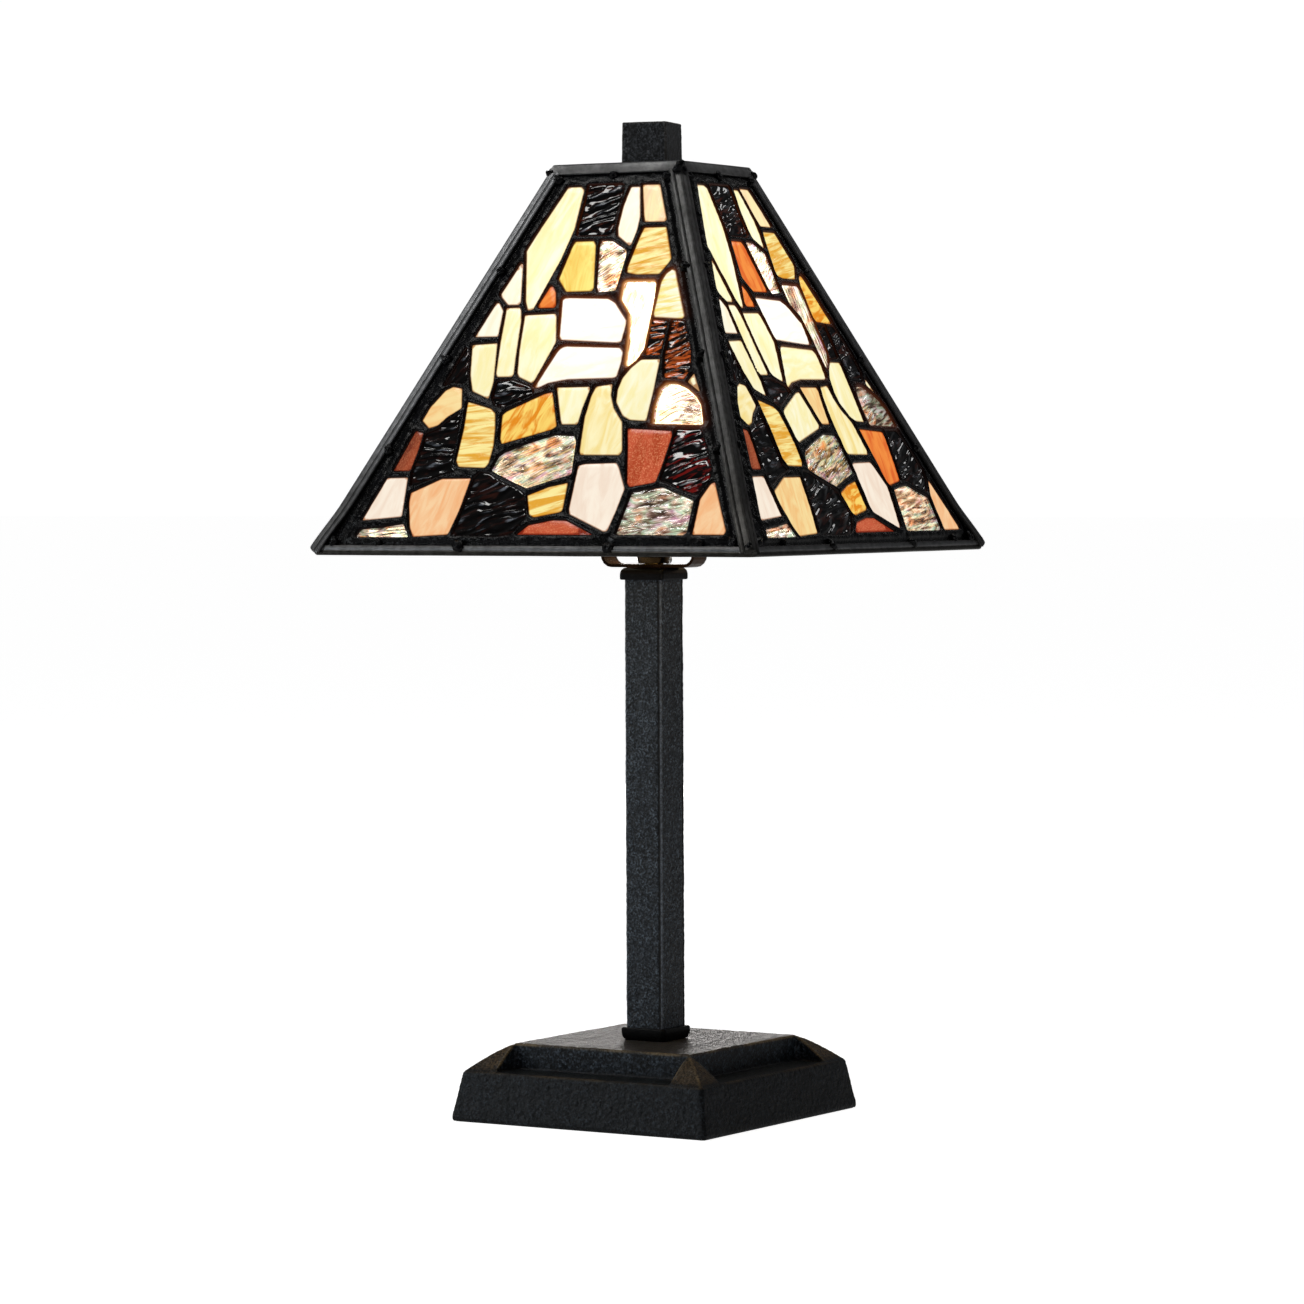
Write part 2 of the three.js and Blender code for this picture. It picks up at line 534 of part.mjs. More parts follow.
function makeBulb(parent) {
  const outside = globeProfile(0);
  const inside = globeProfile(BULB.glass).reverse();
  piece(parent, "bulb_glass", turned([...outside, ...inside, outside[0]]), CLEAR_GLASS);
  const { tipZ, collarZ } = BULB;
  const tip = [[0, tipZ], [3, tipZ], [4.6, tipZ + 1], [0, tipZ + 1]];
  piece(parent, "bulb_tip_contact", turned(tip, 12), STEEL);
  piece(parent, "bulb_base", turned([
    [0, tipZ + 1 + GAP],
    [5.5, tipZ + 1 + GAP],
    [9.5, tipZ + 3],
    ...threadProfile(0),
    [THREAD.crest - 0.3, collarZ - 5],
    [THREAD.crest - 0.3, collarZ],
    [0, collarZ],
  ]), BRASS);
  piece(parent, "bulb_mount", turned([
    [0, collarZ + GAP],
    [8, collarZ + GAP],
    [5, collarZ + 6],
    [3, collarZ + 14],
    [3, collarZ + 30],
    [0, collarZ + 31],
  ], 12), CLEAR_GLASS);
  const top = collarZ + 31 + GAP;
  const wirePath = new THREE.CatmullRomCurve3([
    new THREE.Vector3(-1.5, 0, top + 1),
    new THREE.Vector3(-7, 0, top + 10),
    new THREE.Vector3(-11, 0, top + 20),
    new THREE.Vector3(-6, 5, top + 21),
    new THREE.Vector3(6, 5, top + 21),
    new THREE.Vector3(11, 0, top + 20),
    new THREE.Vector3(7, 0, top + 10),
    new THREE.Vector3(1.5, 0, top + 1),
  ]);
  piece(parent, "bulb_filament", wireAlong(wirePath, 0.45, 5, 28), STEEL);
}

// ---------------------------------------------------------------- shade
// A point of a face, y up its slope and depth below its surface, as [distance from axis, z].
function onFace([y, depth]) {
  return [SHADE.halfFoot - cosine * y - sine * depth, SHADE.bottomZ + sine * y - cosine * depth];
}

// A rim came runs along one face with mitred ends: its section holds [y, depth].
function rimCame(section) {
  const ends = [-1, 1].map((side) => section.map(onFace).map(([reach, z]) =>
    [side * (reach - GAP / 2), -reach, z]));
  return lofted(ends);
}

function footSection() {
  const { sheet, foot, depth } = CAME;
  const channel = depth - sheet;
  return [
    [foot, 0], [1.6, 0], [0.6, 0.4], [0.5, 1.1], [2.75, depth], [7, depth],
    [7, channel], [SHEET.foot - GAP, channel], [SHEET.foot - GAP, sheet], [foot, sheet],
  ];
}

function headSection() {
  const { sheet, head, depth } = CAME;
  const channel = depth - sheet;
  return [
    [slant - head, 0], [slant - head, sheet], [SHEET.head + GAP, sheet], [SHEET.head + GAP, channel],
    [slant - 7, channel], [slant - 7, depth], [slant + 2.75, depth], [slant + 0.5, 1.1],
    [slant, 0.4], [slant - 0.9, 0],
  ];
}

// The angle over a hip, at the corner between +X and -Y, parallel to the hip line.
function cornerCame() {
  const sheet = CAME.sheet / sine;
  const across = CAME.corner / Math.cos(Math.atan(cosine));
  const bottom = onFace([CAME.foot, 0])[1] + GAP;
  const top = onFace([slant - CAME.head, CAME.sheet])[1] - GAP;
  return lofted([bottom, top].map((z) => {
    const r = SHADE.halfFoot - narrowing * (z - SHADE.bottomZ);
    return [
      [r - 0.5, -r], [r, 0.5 - r], [r, across - r], [r - sheet, across - r],
      [r - sheet, sheet - r], [r - across, sheet - r], [r - across, -r],
    ].map(([x, y]) => [x, y, z]);
  }));
}

function sheetOutline() {
  const half = (y) => SHADE.halfFoot - cosine * y - SHEET.side;
  const { foot, head } = SHEET;
  return [[-half(foot), foot], [half(foot), foot], [half(head), head], [-half(head), head]];
}

// Moves each side of an outline outwards by a distance.
function grown(outline, distance) {
  const count = outline.length;
  const normals = outline.map(([x, y], i) => {
    const [nextX, nextY] = outline[(i + 1) % count];
    const length = Math.hypot(nextX - x, nextY - y);
    return [(nextY - y) / length, (x - nextX) / length];
  });
  return outline.map(([x, y], i) => {
    const [ax, ay] = normals[(i + count - 1) % count];
    const [bx, by] = normals[i];
    const scale = distance / (1 + ax * bx + ay * by);
    return [x + scale * (ax + bx), y + scale * (ay + by)];
  });
}

function glassPanel() {
  const back = plate(sheetOutline(), -GLASS.back, -GLASS.groove);
  const pieces = MOSAIC.map((outline) => plate(outline, -GLASS.groove - 0.2, -GLASS.front));
  return join(back, ...pieces);
}

function solderLattice() {
  const holes = MOSAIC.map((outline) => grown(outline, GAP).reverse());
  return plate(sheetOutline(), GAP - GLASS.groove, -GLASS.front, holes);
}

function makeShade(parent) {
  const glass = glassPanel();
  const lattice = solderLattice();
  const foot = rimCame(footSection());
  const head = rimCame(headSection());
  const corner = cornerCame();
  ["front", "right", "back", "left"].forEach((side, quarter) => {
    const turn = new THREE.Group();
    turn.rotation.z = (quarter * Math.PI) / 2;
    parent.add(turn);
    const face = new THREE.Group();
    face.position.set(0, -SHADE.halfFoot, SHADE.bottomZ);
    face.rotation.x = Math.acos(cosine);
    turn.add(face);
    piece(face, `panel_${side}_glass`, glass, ART_GLASS);
    piece(face, `panel_${side}_solder`, lattice, SOLDER);
    piece(turn, `foot_came_${side}`, foot, CAME_METAL);
    piece(turn, `head_came_${side}`, head, CAME_METAL);
    piece(turn, `corner_came_${side}`, corner, CAME_METAL);
  });

  const { half, thickness, ventCircle, vent, vents } = CAP_PLATE;
  const holes = [circle(STUD.thread + GAP, 0, 0, 16)];
  for (let i = 0; i < vents; i++) {
    const angle = ((i + 0.5) / vents) * 2 * Math.PI;
    holes.push(circle(vent, ventCircle * Math.cos(angle), ventCircle * Math.sin(angle), 12));
  }
  const square = [[-half, -half], [half, -half], [half, half], [-half, half]];
  const plateZ = STUD.seatZ + GAP;
  const cap = plate(square, plateZ, plateZ + thickness, holes.map((hole) => hole.reverse()));
  piece(parent, "shade_cap_plate", cap, CAME_METAL);

  const { neck, thread, seatZ, topZ } = STUD;
  const eyeBottom = HARP.topZ - 2.2;
  const eyeTop = HARP.topZ + 2.2;
  piece(parent, "harp_stud", turned([
    [0, eyeBottom - 2],
    [3.4, eyeBottom - 2],
    [4.2, eyeBottom - GAP],
    [neck, eyeBottom - GAP],
    [neck, eyeTop + GAP],
    [8, eyeTop + GAP],
    [8, seatZ],
    [thread, seatZ],
    [thread, topZ - 1],
    [thread - 0.8, topZ],
    [0, topZ],
  ], 16), BRASS);
}

// ---------------------------------------------------------------- finial
function makeFinial(parent) {
  const { foot, head, bottomZ, topZ, bore } = FINIAL;
  const cube = squareForm([
    [foot - 1.2, bottomZ],
    [foot, bottomZ + 0.8],
    [head, topZ - 0.9],
    [head - 0.8, topZ - 0.2],
    [head - 1.8, topZ],
  ], 1.1);
  const boreTop = topZ - 6.5;
  piece(parent, "finial_block", cut(cube, rod(bore, bottomZ - 1, boreTop, 16)), HAMMERED);
  const insert = ring(STUD.thread + GAP, bore - GAP, bottomZ + 0.2, boreTop - GAP, 16);
  piece(parent, "finial_insert", insert, BRASS);
}

makeBase(lamp);
makeStem(lamp);
makeHarp(lamp);
makeSocket(lamp);
makeBulb(lamp);

const shade = new THREE.Group();
shade.rotation.z = degrees(SHADE.yaw);
lamp.add(shade);
makeShade(shade);

const finial = new THREE.Group();
finial.rotation.z = degrees(FINIAL.yaw);
lamp.add(finial);
makeFinial(finial);

export default lamp;
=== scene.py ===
"""The looks of a mission-style table lamp with a leaded mosaic glass shade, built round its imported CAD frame.

Shapes are drawn in millimetres and turned into metres by MM. -Y is the lamp's front.
"""

import math
from functools import lru_cache

import bmesh
import bpy
import numpy as np
from mathutils import Matrix, Vector
from mathutils.geometry import delaunay_2d_cdt


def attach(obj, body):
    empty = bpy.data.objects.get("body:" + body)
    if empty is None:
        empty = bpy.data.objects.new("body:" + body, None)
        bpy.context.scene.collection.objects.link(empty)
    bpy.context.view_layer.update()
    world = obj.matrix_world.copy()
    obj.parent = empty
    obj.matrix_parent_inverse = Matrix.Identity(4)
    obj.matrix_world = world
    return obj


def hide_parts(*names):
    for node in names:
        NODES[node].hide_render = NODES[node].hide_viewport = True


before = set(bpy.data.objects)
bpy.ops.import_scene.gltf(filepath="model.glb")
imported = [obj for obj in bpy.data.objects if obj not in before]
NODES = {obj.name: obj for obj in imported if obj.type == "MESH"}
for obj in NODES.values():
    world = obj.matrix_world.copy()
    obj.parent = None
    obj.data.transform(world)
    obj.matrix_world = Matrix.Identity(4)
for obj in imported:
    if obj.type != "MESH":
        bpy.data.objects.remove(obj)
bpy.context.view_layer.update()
MM = 0.001

# ------------------------------------------------------------------ camera and stage
CAMERA_AZIMUTH = math.radians(32.15)
CAMERA_PITCH = math.radians(2.06)
CAMERA_DISTANCE = 2.541
CAMERA_HEIGHT = 0.329
CAMERA_ASIDE = -0.0011
CAMERA_ROLL = math.radians(-0.25)
CAMERA_LENS = 137.1
CAMERA_SENSOR = 36
CAMERA_CLIP = (0.1, 60)
FLOOR_SIZE = 60


def linked(name, data):
    """A new object in the scene for a mesh, curve, lamp or camera."""
    thing = bpy.data.objects.new(name, data)
    bpy.context.scene.collection.objects.link(thing)
    return thing


def make_camera():
    data = bpy.data.cameras.new("camera")
    data.lens = CAMERA_LENS
    data.sensor_width = CAMERA_SENSOR
    data.clip_start, data.clip_end = CAMERA_CLIP
    camera = linked("camera", data)
    back = Vector((math.sin(CAMERA_AZIMUTH), -math.cos(CAMERA_AZIMUTH), 0))
    right = Vector((math.cos(CAMERA_AZIMUTH), math.sin(CAMERA_AZIMUTH), 0))
    place = back * CAMERA_DISTANCE + right * CAMERA_ASIDE
    turn = Matrix.Rotation(CAMERA_AZIMUTH, 4, "Z") @ Matrix.Rotation(math.pi / 2 - CAMERA_PITCH, 4, "X")
    turn = turn @ Matrix.Rotation(CAMERA_ROLL, 4, "Z")
    camera.location = (place.x, place.y, CAMERA_HEIGHT)
    camera.rotation_euler = turn.to_euler()
    bpy.context.scene.camera = camera


def srgb(text):
    """A colour written as #RRGGBB in linear light."""
    values = [int(text[i : i + 2], 16) / 255 for i in (1, 3, 5)]
    return tuple(v / 12.92 if v <= 0.04045 else ((v + 0.055) / 1.055) ** 2.4 for v in values)


class Tree:
    """A node tree with a short way to add and join nodes. Colours are #RRGGBB or linear (r, g, b)."""

    def __init__(self, tree):
        self.nodes = tree.nodes
        self.links = tree.links

    def put(self, node, socket, value):
        if isinstance(value, str):
            value = srgb(value)
        if isinstance(value, bpy.types.NodeSocket):
            self.links.new(value, node.inputs[socket])
        elif isinstance(value, tuple) and len(value) == 3 and node.inputs[socket].type == "RGBA":
            node.inputs[socket].default_value = (*value, 1)
        else:
            node.inputs[socket].default_value = value

    def add(self, kind, inputs=(), output=0, **settings):
        node = self.nodes.new("ShaderNode" + kind)
        for name, value in settings.items():
            setattr(node, name, value)
        for socket, value in dict(inputs).items():
            self.put(node, socket, value)
        return node.outputs[output]

    def attribute(self, name, output="Fac"):
        return self.add("Attribute", attribute_name=name, output=output)

    def math(self, operation, a, b=0.0, clamp=False):
        return self.add("Math", {0: a, 1: b}, operation=operation, use_clamp=clamp)

    def stretch(self, vector, scale):
        return self.add("VectorMath", {0: vector, 1: scale}, operation="MULTIPLY")

    def noise(self, vector, scale, detail=3.0, roughness=0.55, distortion=0.0):
        inputs = {"Vector": vector, "Scale": scale, "Detail": detail}
        return self.add("TexNoise", {**inputs, "Roughness": roughness, "Distortion": distortion})

    def between(self, value, low, high, out_low=0.0, out_high=1.0):
        inputs = {"Value": value, "From Min": low, "From Max": high, "To Min": out_low, "To Max": out_high}
        return self.add("MapRange", inputs, interpolation_type="SMOOTHSTEP")

    def ramp(self, value, *stops):
        """A colour ramp through (position, colour) stops."""
        colour = self.add("ValToRGB", {0: value})
        elements = colour.node.color_ramp.elements
        for number, (position, tone) in enumerate(stops):
            element = elements[number] if number < 2 else elements.new(position)
            element.position = position
            element.color = (*(srgb(tone) if isinstance(tone, str) else tone), 1)
        return colour

    def mix(self, share, first, second, blend="MIX"):
        inputs = {0: share, 6: first, 7: second}
        return self.add("Mix", inputs, output=2, data_type="RGBA", blend_type=blend)

    def place(self):
        return self.add("TexCoord", output="Object")


class Shader(Tree):
    """A material with a Principled shader."""

    def __init__(self, name, **sockets):
        self.material = bpy.data.materials.new(name)
        self.material.use_nodes = True
        super().__init__(self.material.node_tree)
        self.surface = self.nodes["Principled BSDF"]
        self.dress(**sockets)

    def dress(self, **sockets):
        """Joins or sets the surface's sockets, named with underscores."""
        for socket, value in sockets.items():
            self.put(self.surface, socket.replace("_", " "), value)

    def bump(self, height, depth, strength=1.0):
        self.dress(Normal=self.add("Bump", {"Height": height, "Distance": depth, "Strength": strength}))


def make_world():
    """A plain studio: a white backdrop for the camera, and dim light from all round, least on the right."""
    world = bpy.data.worlds.new("studio")
    bpy.context.scene.world = world
    world.use_nodes = True
    tree = Tree(world.node_tree)
    tree.nodes.clear()
    direction = tree.add("TexCoord", output="Generated")
    height = tree.add("SeparateXYZ", {0: direction}, output="Z")
    side = tree.add("SeparateXYZ", {0: direction}, output="X")
    low, middle, top = (0.2, 0.205, 0.21), (0.05, 0.05, 0.054), (0.15, 0.15, 0.15)
    tone = tree.ramp(height, (0.05, low), (0.35, middle), (0.85, top))
    fade = {"From Min": 0.15, "From Max": 0.8, "To Min": 1.0, "To Max": 0.3}
    dim = tree.add("Background", {"Color": tone, "Strength": tree.add("MapRange", {"Value": side, **fade})})
    white = tree.add("Background", {"Color": (1.02, 1.02, 1.02)})
    choice = tree.add("MixShader", {0: tree.add("LightPath", output="Is Camera Ray"), 1: dim, 2: white})
    tree.put(tree.nodes.new("ShaderNodeOutputWorld"), "Surface", choice)


def make_floor():
    bpy.ops.mesh.primitive_plane_add(size=FLOOR_SIZE)
    floor = bpy.context.object
    floor.name = "floor"
    pale = Shader("floor_paper", Base_Color=(0.5, 0.5, 0.5), Roughness=0.9, Specular_IOR_Level=0.0)
    path = pale.add("LightPath", output="Is Camera Ray")
    pale.dress(Emission_Color=(1.0, 1.0, 1.0), Emission_Strength=pale.between(path, 0.0, 1.0, 0.2, 0.94))
    floor.data.materials.append(pale.material)


def softbox(name, place, aim, width, height, power, tint=(1, 1, 1)):
    data = bpy.data.lights.new(name, "AREA")
    data.shape = "RECTANGLE"
    data.size, data.size_y = width, height
    data.energy = power
    data.color = tint
    lamp = linked(name, data)
    lamp.location = place
    lamp.rotation_euler = (Vector(aim) - Vector(place)).to_track_quat("-Z", "Y").to_euler()


def make_lights():
    middle = (0, 0, 0.28)
    softbox("key_left", (-1.1, -1.2, 2.35), middle, 0.5, 0.35, 8.5, (1, 0.99, 0.97))
    softbox("strip_left", (-1.9, -1.6, 0.8), middle, 0.2, 1.0, 12, (0.9, 0.96, 1))
    softbox("ripple_lines", (-1.0, -0.72, 2.45), (0, 0, 0.4), 1.7, 0.07, 2.2, (0.95, 0.98, 1))
    softbox("overhead", (0.1, 0.9, 2.4), middle, 1.0, 0.8, 6)
    softbox("backdrop", (-1.45, 2.3, 0.3), (0, 0, 0.04), 1.6, 0.35, 15, (1, 0.96, 0.93))
    softbox("edge_right", (2.5, -1.6, 0.4), middle, 0.05, 1.2, 3.5, (1, 0.95, 0.9))
    softbox("ripples_right", (0.75, 2.2, 1.75), (0.08, 0, 0.38), 0.22, 0.22, 0.8)


# ------------------------------------------------------------------ meshes
WELD_DISTANCE = 1e-5
SAME_PLACE = 1e-6
ROW_SHARE = 0.866
TURNED_SIDES = 64


def dressed(piece, shader, body, replaces=()):
    """Gives a piece its material, smooth shading and body, and hides the CAD parts it replaces."""
    mesh = piece.data
    mesh.polygons.foreach_set("use_smooth", [True] * len(mesh.polygons))
    mesh.materials.clear()
    mesh.materials.append(shader.material)
    mesh.update()
    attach(piece, body)
    if replaces:
        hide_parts(*replaces)
    return piece


def mark(mesh, name, values):
    """Keeps one number or vector for each vertex under a name that materials read."""
    values = np.asarray(values, np.float32)
    kind, field = ("FLOAT_VECTOR", "vector") if values.ndim == 2 else ("FLOAT", "value")
    mesh.attributes.new(name, kind, "POINT").data.foreach_set(field, values.ravel())


def new_piece(name, vertices, faces, shader, body, slot, replaces=(), **marks):
    """A mesh piece in metres that rides on a body; marks hold one value for each vertex."""
    mesh = bpy.data.meshes.new(name)
    mesh.from_pydata([tuple(v) for v in vertices], [], [tuple(map(int, f)) for f in faces])
    mesh.validate()
    for key, values in marks.items():
        mark(mesh, key, values)
    return dressed(linked(name, mesh), shader, body, replaces)


def edited(piece, change):
    """Changes a piece's mesh through bmesh."""
    mesh = bmesh.new()
    mesh.from_mesh(piece.data)
    change(mesh)
    mesh.to_mesh(piece.data)
    mesh.free()
    return piece


def weld(piece):
    """Joins vertices that lie in one place."""
    return edited(piece, lambda mesh: bmesh.ops.remove_doubles(mesh, verts=mesh.verts, dist=WELD_DISTANCE))


def oriented(piece):
    """Turns every face of a closed mesh outwards."""
    return edited(piece, lambda mesh: bmesh.ops.recalc_face_normals(mesh, faces=mesh.faces))


def joined(shapes):
    """One list of vertices and one of faces from several shapes of each."""
    faces, start = [], 0
    for vertices, polygons in shapes:
        faces += [tuple(i + start for i in polygon) for polygon in polygons]
        start += len(vertices)
    return np.concatenate([vertices for vertices, _ in shapes]), faces


def sharpened(piece, angle=35):
    """Keeps edges steeper than an angle crisp under smooth shading."""
    piece.data.set_sharp_from_angle(angle=math.radians(angle))
    return piece


def drift(points, size, seed, waves=7):
    """A smooth random field over 2-D or 3-D points, mostly between -1 and 1, with features of a size."""
    rng = np.random.default_rng(seed)
    total = np.zeros(len(points))
    for _ in range(waves):
        heading = rng.normal(size=points.shape[1])
        heading /= np.linalg.norm(heading)
        pitch = size * rng.uniform(0.75, 1.7)
        total += np.sin(points @ heading * (2 * math.pi / pitch) + rng.uniform(0, 2 * math.pi))
    return total / math.sqrt(waves / 2) / 1.6


def smoothstep(values, low, high):
    share = np.clip((values - low) / (high - low), 0, 1)
    return share * share * (3 - 2 * share)


def turned(name, profile, shader, body, slot, replaces=(), axis=None):
    """A turned piece: profile holds (radius, z) in mm, run anticlockwise; axis moves it into place."""
    sides = TURNED_SIDES
    profile = [Vector(p) for p in profile]
    closed = (profile[0] - profile[-1]).length < SAME_PLACE
    rings = profile[:-1] if closed else profile
    vertices, faces = [], []
    for radius, z in rings:
        if radius < SAME_PLACE:
            vertices.append([(0, 0, z)])
        else:
            angles = [2 * math.pi * i / sides for i in range(sides)]
            vertices.append([(radius * math.cos(a), radius * math.sin(a), z) for a in angles])
    starts = np.cumsum([0] + [len(ring) for ring in vertices])
    pairs = [(i, (i + 1) % len(rings)) for i in range(len(rings) if closed else len(rings) - 1)]
    for low, high in pairs:
        for i in range(sides):
            j = (i + 1) % sides
            corners = [starts[low] + i % len(vertices[low]), starts[low] + j % len(vertices[low])]
            corners += [starts[high] + j % len(vertices[high]), starts[high] + i % len(vertices[high])]
            corners = list(dict.fromkeys(corners))
            if len(corners) > 2:
                faces.append(corners)
    flat = [v for ring in vertices for v in ring]
    matrix = Matrix.Scale(MM, 4) @ (axis or Matrix.Identity(4))
    points = [matrix @ Vector(v) for v in flat]
    return sharpened(new_piece(name, points, faces, shader, body, slot, replaces))


def arc(centre, radius, start, end, steps):
    """Points on an arc, angles in degrees."""
    angles = [math.radians(start + (end - start) * i / steps) for i in range(steps + 1)]
    return [(centre[0] + radius * math.cos(a), centre[1] + radius * math.sin(a)) for a in angles]


# ------------------------------------------------------------------ the shade's measures
FOOT_HALF = 127.0
HEAD_HALF = 36.65
FOOT_Z = 289.0
HEAD_Z = 485.74
SHADE_YAW = math.radians(2.3)
RISE = HEAD_Z - FOOT_Z
SETBACK = FOOT_HALF - HEAD_HALF
SLANT = math.hypot(RISE, SETBACK)
SINE = RISE / SLANT
COSINE = SETBACK / SLANT
NARROWING = SETBACK / RISE
GLASS_TOP = -1.5
GLASS_THICKNESS = 3.0
GLASS_LAP = 0.6
SHEET_FOOT = 3.8
SHEET_HEAD = SLANT - 2.4
SHEET_SIDE = 5.0
BULB_Z = 398.0
BULB_RADIUS = 30.0
NEAREST_GLASS = 72.0
FALL_OFF = 5
SIDES = ("front", "right", "back", "left")


def side_matrix(quarter):
    return Matrix.Rotation(SHADE_YAW + quarter * math.pi / 2, 4, "Z")


def face_matrix(quarter):
    """From a face's own frame (x across, y up the slope, z outwards, mm) to the lamp's in metres."""
    tilt = Matrix.Rotation(math.acos(COSINE), 4, "X")
    foot = Matrix.Translation((0, -FOOT_HALF, FOOT_Z))
    return Matrix.Scale(MM, 4) @ side_matrix(quarter) @ foot @ tilt


def moved(points, matrix):
    """Points as an array, each turned, scaled and shifted by a matrix."""
    return np.asarray(points) @ np.array(matrix.to_3x3()).T + np.array(matrix.translation)


# ------------------------------------------------------------------ the mosaic
# Each piece: its glass on the front, right, back and left faces, its grain in degrees, and its outline
# as (x, y) in mm on the face, the same on all four.
C, CP, CK, CW, CS = "cream", "pale", "pink", "wisp", "stripe"
AS, AW, AM, PE, OW = "amber_stripe", "amber_swirl", "amber", "peach", "opal"
RU, OR, ML, BL, CL, BR = "russet", "orange", "milk", "black", "clear", "ember"
RO, AP, GA, CB = "rust", "apricot", "garnet", "smoky"

